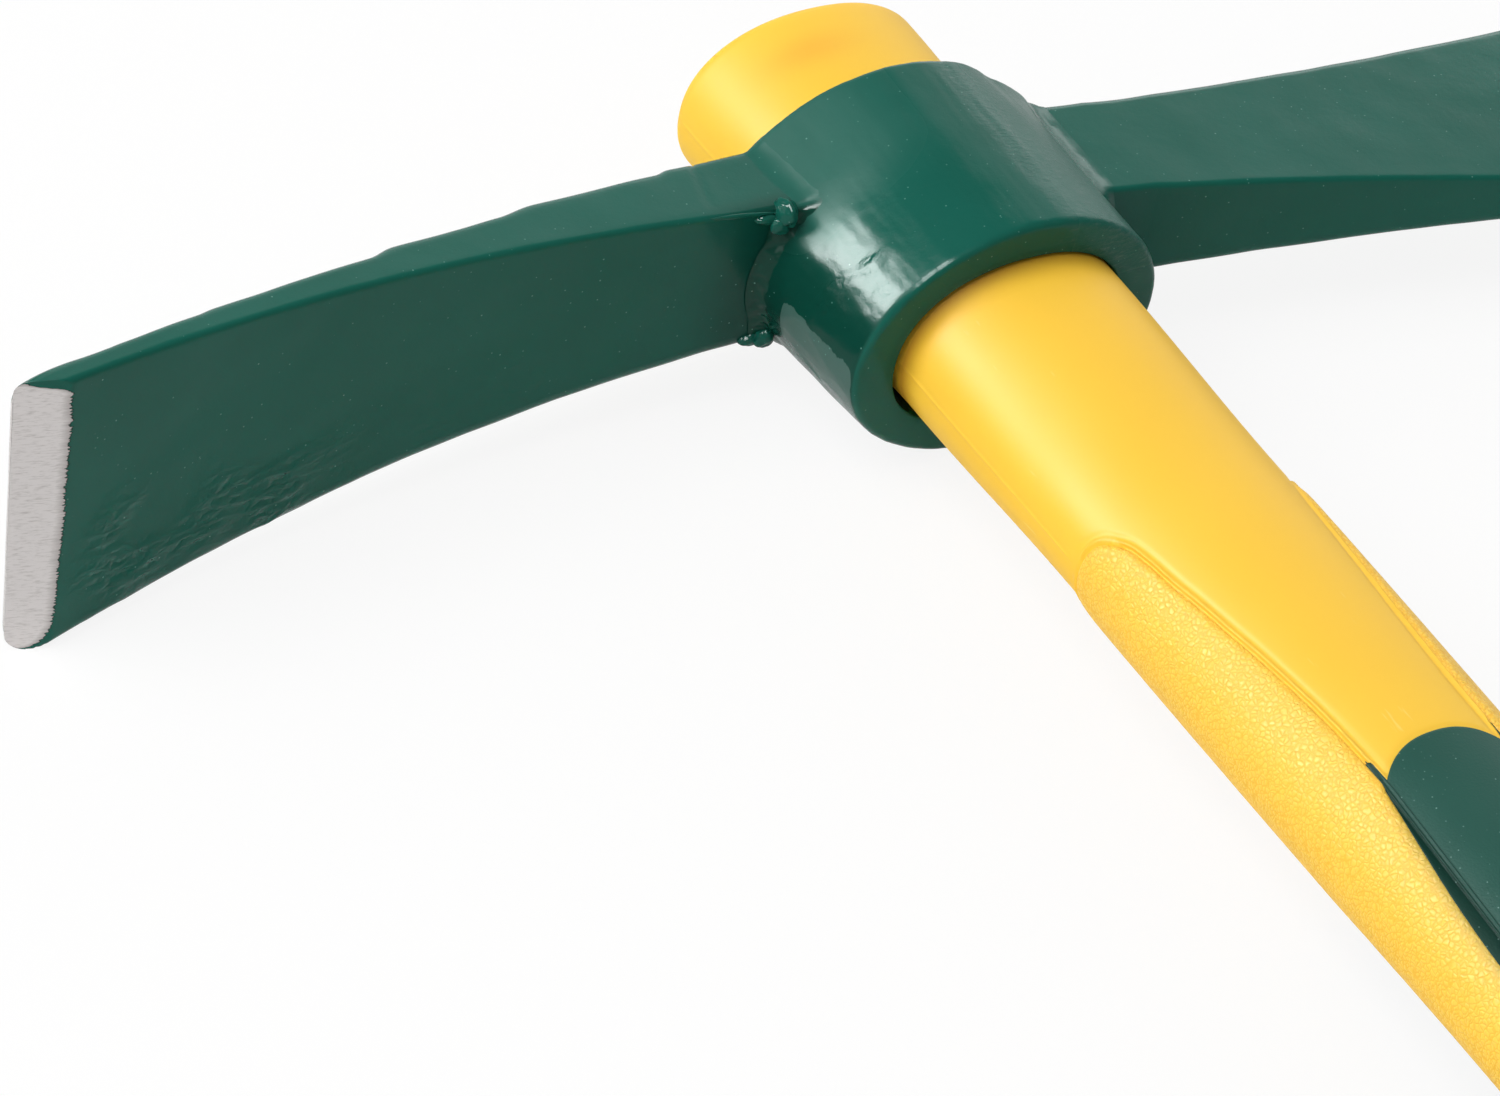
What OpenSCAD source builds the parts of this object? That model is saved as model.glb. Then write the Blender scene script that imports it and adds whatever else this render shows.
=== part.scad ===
// Short hand mattock: an adze blade and an axe blade welded to a tapered eye,
// on a moulded handle with a glass-fibre core and a two-colour grip.
// The tool lies on its side: X runs along the head with the axe at +X,
// Y runs along the handle with the head at +Y, and Z points up.

/* [Eye] */
// Height of the eye along the handle
eye_height = 35.6; // [32:0.2:40]
// Outer width of the eye along the head, at its lower end
eye_low_w = 49.4; // [46:0.2:54]
// Outer depth of the eye across the head, at its lower end
eye_low_d = 39.8; // [36:0.2:43]
// Outer width of the eye along the head, at its upper end
eye_top_w = 52.8; // [50:0.2:58]
// Outer depth of the eye across the head, at its upper end
eye_top_d = 43; // [40:0.2:47]
// How far the upper rim is set over towards the adze
eye_lean = 1.8; // [0:0.1:2.6]
// Width of the hole along the head, at its lower end
hole_low_w = 36.7; // [34:0.1:39]
// Depth of the hole across the head, at its lower end
hole_low_d = 28.5; // [26:0.1:30]
// Width of the hole along the head, at its upper end
hole_top_w = 38.8; // [36:0.2:41]
// Depth of the hole across the head, at its upper end
hole_top_d = 28.9; // [27:0.1:31]
// Radius of the rounded outer edge of both rims
rim_round = 1.8; // [0.8:0.1:2.4]

/* [Adze] */
// Distance from the handle's axis to the adze's cutting edge
adze_reach = 142; // [125:1:160]
// Width of the adze where it meets the eye
adze_root_w = 24.5; // [21:0.1:28]
// Width of the adze at its cutting edge
adze_edge_w = 47.3; // [42:0.1:54]
// Thickness of the adze where it meets the eye
adze_root_t = 13.7; // [11:0.1:16]
// Thickness of the adze behind its ground bevel
adze_edge_t = 4.1; // [3.4:0.1:6]
// Radius of the long curve of the adze's inner face
adze_curve_r = 341; // [300:1:500]
// Angle at which the inner face leaves the eye
adze_lift = 4.25; // [2:0.05:6]
// Length of the ground bevel on the adze, measured along the blade
adze_bevel_l = 6.8; // [4:0.1:9]
// Radius of the adze's two corners, seen square to its face
adze_corner_r = 3; // [1.5:0.1:5]
// How far the upper corner of the cutting edge runs ahead of its middle
adze_skew = 0.8; // [0:0.1:2]

/* [Axe] */
// Distance from the handle's axis to the middle of the axe's cutting edge
axe_reach = 126; // [115:1:145]
// Height of the axe along the handle where it meets the eye
axe_root_h = 18.7; // [16:0.1:22]
// Height of the axe along the handle at its cutting edge
axe_edge_h = 41.8; // [34:0.2:48]
// Thickness of the axe where it meets the eye
axe_root_t = 17.6; // [14:0.2:20]
// Thickness of the axe behind its ground bevels
axe_edge_t = 5.4; // [3:0.1:7]
// Depth of the axe's upper edge below the eye's upper rim
axe_drop = 2.6; // [2.4:0.1:6]
// How far the axe's upper edge is hollowed
axe_hollow = 1.5; // [0:0.1:3]
// Length of the two ground bevels on the axe
axe_bevel_l = 11; // [7:0.5:15]
// How far the cutting edge bows out between its corners
axe_bow = 3; // [0:0.2:6]

/* [Blade edges and welds] */
// Radius on the long edges of both blades
blade_round = 1.8; // [0.8:0.1:2.2]
// Thickness left on the cutting edges
lip_t = 0.5; // [0.3:0.1:0.8]
// Leg length of the weld at the adze
adze_weld_leg = 2.4; // [1.6:0.1:3]
// Leg length of the weld at the axe
axe_weld_leg = 3; // [2:0.1:3.4]

/* [Handle] */
// Length of the whole tool along the handle
overall_l = 390; // [350:1:440]
// How far the flared top of the handle stands out of the eye
knob_h = 23.4; // [15:0.1:28]
// Width of the flared top along the head
knob_w = 39.6; // [39:0.2:43]
// Depth of the flared top across the head
knob_d = 29.2; // [29:0.2:32]
// Width of the handle at the upper end of the grip
grip_w = 34.1; // [32:0.1:38]
// Depth of the handle at the upper end of the grip
grip_d = 23.4; // [22:0.1:27]
// Width of the grip in the palm
palm_w = 31.6; // [30:0.2:36]
// Depth of the grip in the palm
palm_d = 23.4; // [22:0.2:28]
// Width of the grip at its narrowest, before the butt
throat_w = 30.8; // [29:0.2:35]
// Depth of the grip at its narrowest, before the butt
throat_d = 23.6; // [22:0.2:28]
// Width of the flared butt
butt_w = 40; // [37:0.2:44]
// Depth of the flared butt
butt_d = 29.6; // [27:0.2:33]
// Diameter of the glass-fibre core
core_d = 14; // [11:0.2:16]
// Diameter of the hanging hole through the butt
hang_d = 9; // [7:0.2:11]
// Distance from the end of the butt to the middle of the hanging hole
hang_inset = 19; // [16:0.5:24]
// Angle at which the handle leans towards the axe below the eye
handle_swing = 0.57; // [0:0.01:0.8]
// Angle at which the handle leans upwards below the eye
handle_lift = 0.34; // [0:0.01:0.8]

/* [Soft grip] */
// Thickness of the soft layer over the handle's body
soft_t = 2.4; // [1.6:0.1:2.8]
// How far the side pads stand above the handle
pad_rise = 0.6; // [0.3:0.1:1.2]
// Distance from the eye's lower rim to the upper end of the side pads
pad_start = 43.2; // [36:0.1:55]
// Distance from the upper end of the pads to their widest part
pad_waist = 55; // [48:1:64]
// Distance from the widest part of the pads to their lower end
pad_tail = 64; // [52:1:74]
// Angle round the handle that half of a pad covers at its widest
pad_angle = 55; // [48:1:62]
// How far the green grip arches up between the pads
arch_rise = 4.5; // [2:0.1:6]

/* [Hidden] */

green_enamel = "#1f5a4c";
yellow_plastic = "#f7c949";
green_rubber = "#2c564d";
glass_fibre = "#d9cfa6";

// Roundness of the ovals: 2 is an ellipse and more is squarer
eye_power = 1.95;
handle_power = 2.2;
// Room between the handle and the hole: open at the lower rim, tight at the upper rim
low_gap = 0.8;
top_gap = 0.12;
// Room at welded and moulded faces
weld_gap = 0.1;
mould_gap = 0.05;
// One overrun for all cuts
overrun = 1;

// Heights along the handle, from the middle of the eye
eye_top_y = eye_height / 2;
eye_low_y = -eye_height / 2;
knob_y = eye_top_y + knob_h;
butt_y = knob_y - overall_l;
pad_top_y = eye_low_y - pad_start;
waist_y = pad_top_y - pad_waist;
pad_end_y = waist_y - pad_tail;
knob_round = 2.6;
butt_round = 7;
palm_share = 0.36;
throat_share = 0.78;
grip_span = pad_top_y - butt_y;
palm_y = pad_top_y - palm_share * grip_span;
throat_y = pad_top_y - throat_share * grip_span;
flare_y = butt_y + butt_round;
hang_y = butt_y + hang_inset;
core_low_y = hang_y + hang_d / 2 + core_d / 2;
end_t = 4;
body_end_y = butt_y + end_t;

// Handle stations from the top down: height, half width, half depth
stations = [
    [knob_y - knob_round, knob_w / 2, knob_d / 2],
    [eye_top_y, hole_top_w / 2 - top_gap, hole_top_d / 2 - top_gap],
    [eye_low_y, hole_low_w / 2 - low_gap, hole_low_d / 2 - low_gap],
    [pad_top_y, grip_w / 2, grip_d / 2],
    [palm_y, palm_w / 2, palm_d / 2],
    [throat_y, throat_w / 2, throat_d / 2],
    [flare_y, butt_w / 2, butt_d / 2]
];
eye_stretch = 1;

function mix(a, b, t) = a + (b - a) * t;
function ease(t) = (1 - cos(180 * t)) / 2;
function powered(v, p) = sign(v) * pow(abs(v), 2 / p);
function oval(a, b, angle, p) = [a * powered(cos(angle), p), b * powered(sin(angle), p)];

// Half width (column 1) or half depth (column 2) of the handle at a height;
// the taper in the eye is straight, and the other stretches ease in and out
function stretch_at(y) = max([for (i = [0:len(stations) - 2]) stations[i][0] >= y ? i : 0]);
function half_at(y, column) =
    let (i = stretch_at(y))
    let (t = min(1, max(0, (stations[i][0] - y) / (stations[i][0] - stations[i + 1][0]))))
    mix(stations[i][column], stations[i + 1][column], i == eye_stretch ? t : ease(t));
function handle_point(angle, y, inset) =
    let (p = oval(half_at(y, 1) - inset, half_at(y, 2) - inset, angle, handle_power))
    [p[0], y, p[1]];

// Angles round the handle, closer together where the pads' borders run steeply
pad_angle_shares = [0, 0.2, 0.4, 0.54, 0.64, 0.7, 0.76, 0.83, 0.9, 0.96];
face_angle_shares = [0, 0.2, 0.45, 0.72];
quarter = concat([for (s = pad_angle_shares) pad_angle * s],
    [for (s = face_angle_shares) mix(pad_angle, 90, s)]);
half_turn = concat(quarter, [90], [for (i = [len(quarter) - 1:-1:1]) 180 - quarter[i]]);
around = concat(half_turn, [for (q = half_turn) 180 + q]);
function side_angle(angle) = min(angle % 180, 180 - angle % 180);

// Borders of the pads and the grip as heights for each angle from the narrow side:
// a blunt upper end, a long run down to the widest part, and a long tail
pad_border_shares = [[0, 0], [0.2, 0.004], [0.4, 0.016], [0.52, 0.044], [0.63, 0.087],
    [0.68, 0.153], [0.73, 0.244], [0.78, 0.327], [0.84, 0.433], [0.89, 0.533], [0.93, 0.636],
    [0.97, 0.742], [0.99, 0.85], [1, 1]];
pad_tail_shares = [[0, 1], [0.36, 0.94], [0.55, 0.8], [0.66, 0.59], [0.7, 0.44], [0.73, 0.363],
    [0.79, 0.27], [0.86, 0.172], [0.92, 0.089], [0.98, 0.008], [1, 0]];
arch_power = 2.2;
function pad_upper(q) = pad_top_y - pad_waist * lookup(q / pad_angle, pad_border_shares);
function pad_lower(q) = waist_y - pad_tail * lookup(q / pad_angle, pad_tail_shares);
function arch(q) = waist_y + arch_rise * (1 - pow((90 - q) / (90 - pad_angle), arch_power));
function yellow_end(angle) =
    let (q = side_angle(angle)) q < pad_angle ? pad_upper(q) : arch(q);
function green_start(angle) =
    let (q = side_angle(angle)) q < pad_angle ? pad_lower(q) : arch(q);

function handle_ring(y, inset) = [for (a = around) handle_point(a, y, inset)];

// A closed body through a row of rings with equal numbers of points
module loft(rings) {
    n = len(rings[0]);
    m = len(rings);
    first = [for (c = [0:2]) rings[0] * [for (i = [0:2]) i == c ? 1 : 0]];
    middle_a = [for (c = [0:2]) first[c] * [for (i = [1:n]) 1 / n]];
    last = [for (c = [0:2]) rings[m - 1] * [for (i = [0:2]) i == c ? 1 : 0]];
    middle_b = [for (c = [0:2]) last[c] * [for (i = [1:n]) 1 / n]];
    points = concat([for (r = rings) for (p = r) p], [middle_a, middle_b]);
    sides = [for (i = [0:m - 2]) for (j = [0:n - 1])
        let (a = i * n + j, b = i * n + (j + 1) % n)
        each [[a, b + n, b], [a, a + n, b + n]]];
    cap_a = [for (j = [0:n - 1]) [m * n, j, (j + 1) % n]];
    top = (m - 1) * n;
    cap_b = [for (j = [0:n - 1]) [m * n + 1, top + (j + 1) % n, top + j]];
    polyhedron(points, concat(sides, cap_a, cap_b));
}

// A closed band: rings that join up end to end
module loop(rings) {
    n = len(rings[0]);
    m = len(rings);
    polyhedron([for (r = rings) for (p = r) p],
        [for (i = [0:m - 1]) for (j = [0:n - 1])
            let (k = (i + 1) % m, a = i * n + j, b = i * n + (j + 1) % n)
            let (c = k * n + (j + 1) % n, d = k * n + j)
            each [[a, b, c], [a, c, d]]]);
}

// A rectangle with round corners, w across and t high, with points along its sides
corner_steps = 3;
wide_steps = 6;
high_steps = 3;
function side_points(p, q, n) = [for (k = [1:n - 1]) mix(p, q, k / n)];
function corner(c, r, start) =
    [for (k = [0:corner_steps])
        let (a = start + 90 * k / corner_steps) c + r * [cos(a), sin(a)]];
function section(w, t, r) =
    let (x = w / 2 - r, y = t / 2 - r)
    concat(corner([x, y], r, 0), side_points([x, t / 2], [-x, t / 2], wide_steps),
        corner([-x, y], r, 90), side_points([-w / 2, y], [-w / 2, -y], high_steps),
        corner([-x, -y], r, 180), side_points([-x, -t / 2], [x, -t / 2], wide_steps),
        corner([x, -y], r, 270), side_points([w / 2, -y], [w / 2, y], high_steps));

// Outer half sizes of the eye, and where its outside lies for a height and a depth
function eye_half_w(y) = mix(eye_low_w, eye_top_w, (y - eye_low_y) / eye_height) / 2;
function eye_half_d(y) = mix(eye_low_d, eye_top_d, (y - eye_low_y) / eye_height) / 2;
function eye_x(y, z) =
    let (k = min(1, abs(z) / eye_half_d(y)))
    eye_half_w(y) * pow(1 - pow(k, eye_power), 1 / eye_power);

// The eye's middle moves towards the adze from the lower rim to the upper rim
function eye_shift(y) = -eye_lean * (y - eye_low_y) / eye_height;

// Both blades are measured from the lower width of the eye
root_x = eye_low_w / 2;
root_clear = 7;
cap_shares = [0.1, 0.4, 0.7];

// The adze: y of its faces and its size at a distance u from the eye
adze_l = adze_reach - root_x;
adze_taper_power = 2.1;
adze_top_y = eye_top_y;
function adze_inner(u) = adze_top_y - adze_root_t + u * tan(adze_lift) - u * u / (2 * adze_curve_r);
function adze_thick(u) =
    mix(adze_edge_t, adze_root_t, pow(max(0, 1 - u / adze_l), adze_taper_power));
function adze_outer(u) = adze_inner(u) + adze_thick(u);
adze_bevel_u = adze_l - adze_bevel_l;
function adze_face(u) =
    u < adze_bevel_u ? adze_inner(u)
    : mix(adze_inner(adze_bevel_u), adze_outer(adze_l) - lip_t, (u - adze_bevel_u) / adze_bevel_l);
function adze_wide(u) =
    let (c = max(0, u - adze_l + adze_corner_r))
    mix(adze_root_w, adze_edge_w, max(0, u) / adze_l)
    - 2 * (adze_corner_r - sqrt(max(0, adze_corner_r * adze_corner_r - c * c)));
function adze_x(u, z) =
    -root_x - u - adze_skew * z / (adze_edge_w / 2) * pow(max(0, u) / adze_l, 2);
// How much of the section's height and edge radius fits at u
edge_share = 0.45;
function adze_section(u, grow) =
    let (t = adze_outer(u) - adze_face(u), r = min(blade_round, edge_share * t))
    [for (p = section(adze_wide(u) + 2 * grow, t + 2 * grow, r + grow))
        [(adze_outer(u) + adze_face(u)) / 2 + p[1], p[0]]];
tip_shares = [0.25, 0.5, 0.7, 0.86, 0.95, 1];
adze_steps = 15;
adze_stations = concat([for (k = [0:adze_steps]) mix(root_clear, adze_bevel_u, k / adze_steps)],
    [for (s = tip_shares) adze_bevel_u + s * adze_bevel_l]);
function adze_on_eye(points, stand) =
    [for (p = points) [eye_shift(p[0]) - eye_x(p[0], p[1]) - stand, p[0], p[1]]];

// The axe: y of its edges and its thickness at a distance u from the eye
axe_l = axe_reach - root_x;
axe_top_y = eye_top_y - axe_drop;
axe_bevel_u = axe_l - axe_bevel_l;
function axe_upper(u) = let (s = u / axe_l) axe_top_y - 4 * axe_hollow * s * (1 - s);
axe_flare_power = 1.5;
function axe_high(u) = mix(axe_root_h, axe_edge_h, pow(max(0, u) / axe_l, axe_flare_power));
function axe_thick(u) =
    u < axe_bevel_u ? mix(axe_root_t, axe_edge_t, max(0, u) / axe_bevel_u)
    : mix(axe_edge_t, lip_t, (u - axe_bevel_u) / axe_bevel_l);
function axe_section(u, grow) =
    let (t = axe_thick(u), r = min(blade_round, edge_share * t))
    [for (p = section(t + 2 * grow, axe_high(u) + 2 * grow, r + grow))
        [axe_upper(u) - axe_high(u) / 2 + p[1], p[0]]];
// The cutting edge bows out in the middle and falls back at its corners
function axe_x(u, y) =
    let (v = (y - axe_upper(u) + axe_high(u) / 2) / (axe_high(u) / 2))
    root_x + u - axe_bow * v * v * pow(max(0, u) / axe_l, 2);
axe_steps = 12;
axe_stations = concat([for (k = [0:axe_steps]) mix(root_clear, axe_bevel_u, k / axe_steps)],
    [for (s = tip_shares) axe_bevel_u + s * axe_bevel_l]);
function axe_on_eye(points, stand) =
    [for (p = points) [eye_shift(p[0]) + eye_x(p[0], p[1]) + stand, p[0], p[1]]];

function shrunk(points, share) =
    let (n = len(points), c = [for (i = [1:n]) 1 / n] * points)
    [for (p = points) mix(c, p, share)];

// The tool is tilted a little so that the eye, the butt and the adze's lower corner touch the ground
contact_y = eye_top_y - rim_round;
butt_depth = butt_d / 2 - (eye_top_y - flare_y) * sin(handle_lift);
rest_tilt = atan((eye_half_d(contact_y) - butt_depth) / (contact_y - flare_y));
rest_depth = eye_half_d(contact_y) * cos(rest_tilt) - contact_y * sin(rest_tilt);
adze_low_u = adze_l - adze_corner_r;
adze_low_y = (adze_face(adze_low_u) + adze_outer(adze_low_u)) / 2;
adze_depth = adze_wide(adze_low_u) / 2 * cos(rest_tilt) - adze_low_y * sin(rest_tilt);
rest_roll = asin((adze_depth - rest_depth) / (root_x + adze_low_u));
mid_x = (axe_reach + adze_x(adze_l, adze_wide(adze_l) / 2)) / 2;
mid_y = (knob_y + butt_y) / 2;

module place() {
    translate([-mid_x, -mid_y, rest_depth])
        rotate([rest_tilt, rest_roll, 0])
            children();
}

// The handle and its grip lean as one about the middle of the eye's upper rim
module on_handle() {
    translate([0, eye_top_y, 0])
        rotate([-handle_lift, 0, handle_swing])
            translate([0, -eye_top_y, 0])
                children();
}

// Tapered oval ring with rounded rims and a tapered hole
module eye_socket() {
    rim_angles = [0, 30, 60, 90];
    hole_round = rim_round / 2;
    outer_low = [for (a = rim_angles) [eye_low_y + rim_round * (1 - sin(a)), rim_round * (1 - cos(a))]];
    outer_top = [for (a = rim_angles) [eye_top_y - rim_round * (1 - sin(a)), rim_round * (1 - cos(a))]];
    angles = [for (i = [63:-1:0]) i * 360 / 64];
    function outer_point(angle, y, inset) =
        let (p = oval(eye_half_w(y) - inset, eye_half_d(y) - inset, angle, eye_power))
        [p[0] + eye_shift(y), y, p[1]];
    function hole_point(angle, y, grow) =
        let (s = (y - eye_low_y) / eye_height)
        let (p = oval(mix(hole_low_w, hole_top_w, s) / 2 + grow,
            mix(hole_low_d, hole_top_d, s) / 2 + grow, angle, handle_power))
        [p[0], y, p[1]];
    color(green_enamel)
        place()
            loop([for (g = angles) concat(
                [for (k = [len(outer_low) - 1:-1:0]) outer_point(g, outer_low[k][0], outer_low[k][1])],
                [for (k = outer_top) outer_point(g, k[0], k[1])],
                [hole_point(g, eye_top_y, hole_round), hole_point(g, eye_top_y - hole_round, 0),
                    hole_point(g, eye_low_y + hole_round, 0), hole_point(g, eye_low_y, hole_round)])]);
}

// Broad curved blade, square to the handle, with a single bevel on its inner face
module adze_blade() {
    root = adze_section(0, 0);
    caps = [for (s = concat(cap_shares, [1])) adze_on_eye(shrunk(root, s), weld_gap)];
    body = [for (u = adze_stations) [for (p = adze_section(u, 0)) [adze_x(u, p[1]), p[0], p[1]]]];
    color(green_enamel)
        place()
            loft(concat(caps, body));
}

// Flat blade in line with the handle, flaring and thinning to a bowed edge
module axe_blade() {
    root = axe_section(0, 0);
    caps = [for (s = concat(cap_shares, [1])) axe_on_eye(shrunk(root, s), weld_gap)];
    body = [for (u = axe_stations) [for (p = axe_section(u, 0)) [axe_x(u, p[0]), p[0], p[1]]]];
    rings = concat(caps, body);
    color(green_enamel)
        place()
            loft([for (i = [len(rings) - 1:-1:0]) rings[i]]);
}

// How full the face of a weld is, as a share of its leg
weld_swell_share = 0.12;
function weld_ring(inner, outer, root, leg) =
    let (face = (inner + outer) / 2, lean = face - root)
    [root, outer, face + lean * (2 * weld_swell_share), inner];

// Fillet weld round the adze's inner face and its two narrow sides
module adze_weld() {
    leg = adze_weld_leg;
    blade = adze_section(0, weld_gap);
    toe = [for (p = adze_section(0, weld_gap + leg))
        [min(p[0], eye_top_y - rim_round), p[1]]];
    at_root = adze_on_eye(blade, weld_gap);
    at_toe = adze_on_eye(toe, weld_gap);
    on_blade = [for (p = adze_on_eye(adze_section(leg, weld_gap), weld_gap + leg)) p];
    first = corner_steps + wide_steps + corner_steps;
    count = 2 * high_steps + 2 * corner_steps + wide_steps;
    color(green_enamel)
        place()
            loft([for (k = [count:-1:0])
                let (j = (first + k) % len(blade))
                weld_ring(on_blade[j], at_toe[j], at_root[j], leg)]);
}

// Fillet weld all round the root of the axe
module axe_weld() {
    leg = axe_weld_leg;
    blade = axe_section(0, weld_gap);
    toe = [for (p = axe_section(0, weld_gap + leg))
        [min(p[0], eye_top_y - rim_round), p[1]]];
    at_root = axe_on_eye(blade, weld_gap);
    at_toe = axe_on_eye(toe, weld_gap);
    on_blade = axe_on_eye(axe_section(leg, weld_gap), weld_gap + leg);
    color(green_enamel)
        place()
            loop([for (j = [len(blade) - 1:-1:0])
                weld_ring(on_blade[j], at_toe[j], at_root[j], leg)]);
}

module along_handle(y) {
    translate([0, y, 0])
        rotate([-90, 0, 0])
            children();
}

module hang_hole() {
    translate([0, hang_y, -butt_w])
        cylinder(d = hang_d, h = 2 * butt_w, $fn = 64);
}

// Moulded yellow body: flared top, tapered stretch in the eye, smooth neck,
// and the smaller stem that carries the soft pads and the grip
module handle_body() {
    knob_angles = [90, 60, 30, 0];
    neck_y = pad_top_y + (eye_low_y - pad_top_y) / 4;
    heights = concat(
        [for (k = [1:3]) mix(stations[0][0], eye_top_y, k / 3)],
        [for (k = [1:2]) mix(eye_top_y, eye_low_y, k / 2)],
        [for (k = [1:4]) mix(eye_low_y, neck_y, k / 4)]);
    border_steps = 6;
    stem_y = pad_end_y - soft_t;
    stem_steps = 4;
    lower_steps = 9;
    rings = concat(
        [for (a = knob_angles)
            handle_ring(stations[0][0] + knob_round * sin(a), knob_round * (1 - cos(a)))],
        [for (y = heights) handle_ring(y, 0)],
        [for (k = [1:border_steps]) [for (a = around)
            handle_point(a, mix(neck_y, yellow_end(a), k / border_steps), 0)]],
        [for (k = [0:stem_steps]) [for (a = around)
            handle_point(a, mix(yellow_end(a), stem_y, k / stem_steps), soft_t)]],
        [for (k = [1:lower_steps]) handle_ring(mix(stem_y, body_end_y, k / lower_steps), soft_t)]);
    color(yellow_plastic)
        place()
            on_handle()
                difference() {
                    loft(rings);
                    along_handle(core_low_y)
                        cylinder(d = core_d, h = knob_y - core_low_y + overrun, $fn = 64);
                    hang_hole();
                }
}

// Pultruded rod inside the handle, ending flush with the flared top
module fibre_core() {
    color(glass_fibre)
        place()
            on_handle()
                along_handle(core_low_y + mould_gap)
                    cylinder(d = core_d - 2 * mould_gap, h = knob_y - core_low_y - mould_gap, $fn = 64);
}

// Leaf-shaped pad let into one narrow side; turn puts it on the adze's or the axe's side
module side_pad(turn) {
    pad_steps = 6;
    last = len(pad_angle_shares) - 1;
    pad_shares = [for (i = [last:-1:-last]) sign(i) * pad_angle_shares[abs(i)]];
    function pad_column(share) =
        let (q = pad_angle * share, top = pad_upper(abs(q)) - mould_gap, low = pad_lower(abs(q)) + mould_gap)
        concat(
            [for (k = [0:pad_steps]) handle_point(turn + q, mix(top, low, k / pad_steps), -pad_rise)],
            [for (k = [pad_steps:-1:0])
                handle_point(turn + q, mix(top, low, k / pad_steps), soft_t - mould_gap)]);
    color(yellow_plastic)
        place()
            on_handle()
                loft([for (s = pad_shares) pad_column(s)]);
}

module adze_side_pad() {
    side_pad(180);
}

module axe_side_pad() {
    side_pad(0);
}

// Green sleeve: arched tops on the broad faces, cut away round the pads, closed over the butt
module grip_sleeve() {
    upper_steps = 4;
    lower_steps = 9;
    sleeve_y = pad_end_y - soft_t;
    end_angles = [0, 25, 50, 75, 90];
    rings = concat(
        [for (k = [lower_steps:-1:1])
            handle_ring(mix(sleeve_y, body_end_y - mould_gap, k / lower_steps), soft_t - mould_gap)],
        [for (k = [upper_steps:-1:0]) [for (a = around)
            handle_point(a, mix(green_start(a) - mould_gap, sleeve_y, k / upper_steps), soft_t - mould_gap)]],
        [for (k = [0:upper_steps]) [for (a = around)
            handle_point(a, mix(green_start(a) - mould_gap, sleeve_y, k / upper_steps), 0)]],
        [for (k = [1:lower_steps - 1]) handle_ring(mix(sleeve_y, flare_y, k / lower_steps), 0)],
        [for (a = end_angles)
            handle_ring(flare_y - butt_round * sin(a), butt_round * (1 - cos(a)))]);
    color(green_rubber)
        place()
            on_handle()
                difference() {
                    loft(rings);
                    hang_hole();
                }
}

eye_socket();
adze_blade();
axe_blade();
adze_weld();
axe_weld();
handle_body();
fibre_core();
adze_side_pad();
axe_side_pad();
grip_sleeve();
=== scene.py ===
import math
from functools import partial
import bpy
import bmesh
import numpy as np
from mathutils import Matrix, Vector, noise
from mathutils.kdtree import KDTree


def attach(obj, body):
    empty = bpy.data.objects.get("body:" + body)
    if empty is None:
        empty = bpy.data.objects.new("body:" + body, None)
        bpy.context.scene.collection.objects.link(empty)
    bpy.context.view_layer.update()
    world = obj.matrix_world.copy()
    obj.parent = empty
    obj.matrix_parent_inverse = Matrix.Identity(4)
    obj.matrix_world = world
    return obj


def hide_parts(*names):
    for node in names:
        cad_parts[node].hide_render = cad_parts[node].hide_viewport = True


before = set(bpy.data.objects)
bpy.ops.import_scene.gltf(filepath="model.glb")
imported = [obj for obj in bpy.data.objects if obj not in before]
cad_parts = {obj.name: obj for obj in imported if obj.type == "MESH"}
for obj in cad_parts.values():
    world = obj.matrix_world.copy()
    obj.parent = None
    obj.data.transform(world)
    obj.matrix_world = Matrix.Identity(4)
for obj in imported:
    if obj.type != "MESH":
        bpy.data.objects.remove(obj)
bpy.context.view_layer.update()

scene = bpy.context.scene
scene.view_settings.view_transform = "Standard"

# Pieces are worked out in millimetres about the middle of the eye, then laid on their side:
# x runs along the head (axe at +x), y along the handle (head at +y), z is up
lay = {"tiltDeg": 1.401369, "rollDeg": 0.995907, "shift": (8.34926, 153.8, 21.0214)}
layMatrix = (Matrix.Translation(lay["shift"])
             @ Matrix.Rotation(math.radians(lay["rollDeg"]), 4, "Y")
             @ Matrix.Rotation(math.radians(lay["tiltDeg"]), 4, "X"))
layTurn = np.array(layMatrix.to_3x3())


def toFrame(points):
    return (np.asarray(points, float) @ layTurn.T + lay["shift"]) / 1000


def mix(a, b, t):
    return a + (b - a) * t


def ease(t):
    return (1 - np.cos(np.pi * np.clip(t, 0, 1))) / 2


def ramp(low, high, value):
    t = np.clip((np.asarray(value, float) - low) / (high - low), 0, 1)
    return t * t * (3 - 2 * t)


def hump(value, middle, width):
    return np.exp(-((np.asarray(value, float) - middle) / width) ** 2)


# A spot that fades with distance from its middle; its reach is given squared, along each axis
def spot(points, middle, reach):
    return np.exp(-((points - np.array(middle)) ** 2 / reach).sum(axis=-1))


def oval(a, b, angle, power):
    c, s = np.cos(angle), np.sin(angle)
    return a * np.sign(c) * np.abs(c) ** (2 / power), b * np.sign(s) * np.abs(s) ** (2 / power)


# Values from one mark to the next, each mark with the number of steps that lead to it
def stretches(start, *marks):
    parts = []
    for end, steps in marks:
        parts.append(np.linspace(start, end, steps + 1)[:-1])
        start = end
    return np.concatenate(parts + [[start]])


# Smooth unevenness with bumps about one size across, from -1 to 1
def waver(points, size, shift=0.0):
    flat = (np.asarray(points, float).reshape(-1, 3) / size + shift).tolist()
    values = np.fromiter((noise.noise(p) for p in flat), float, len(flat))
    return values.reshape(np.shape(points)[:-1])


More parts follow.
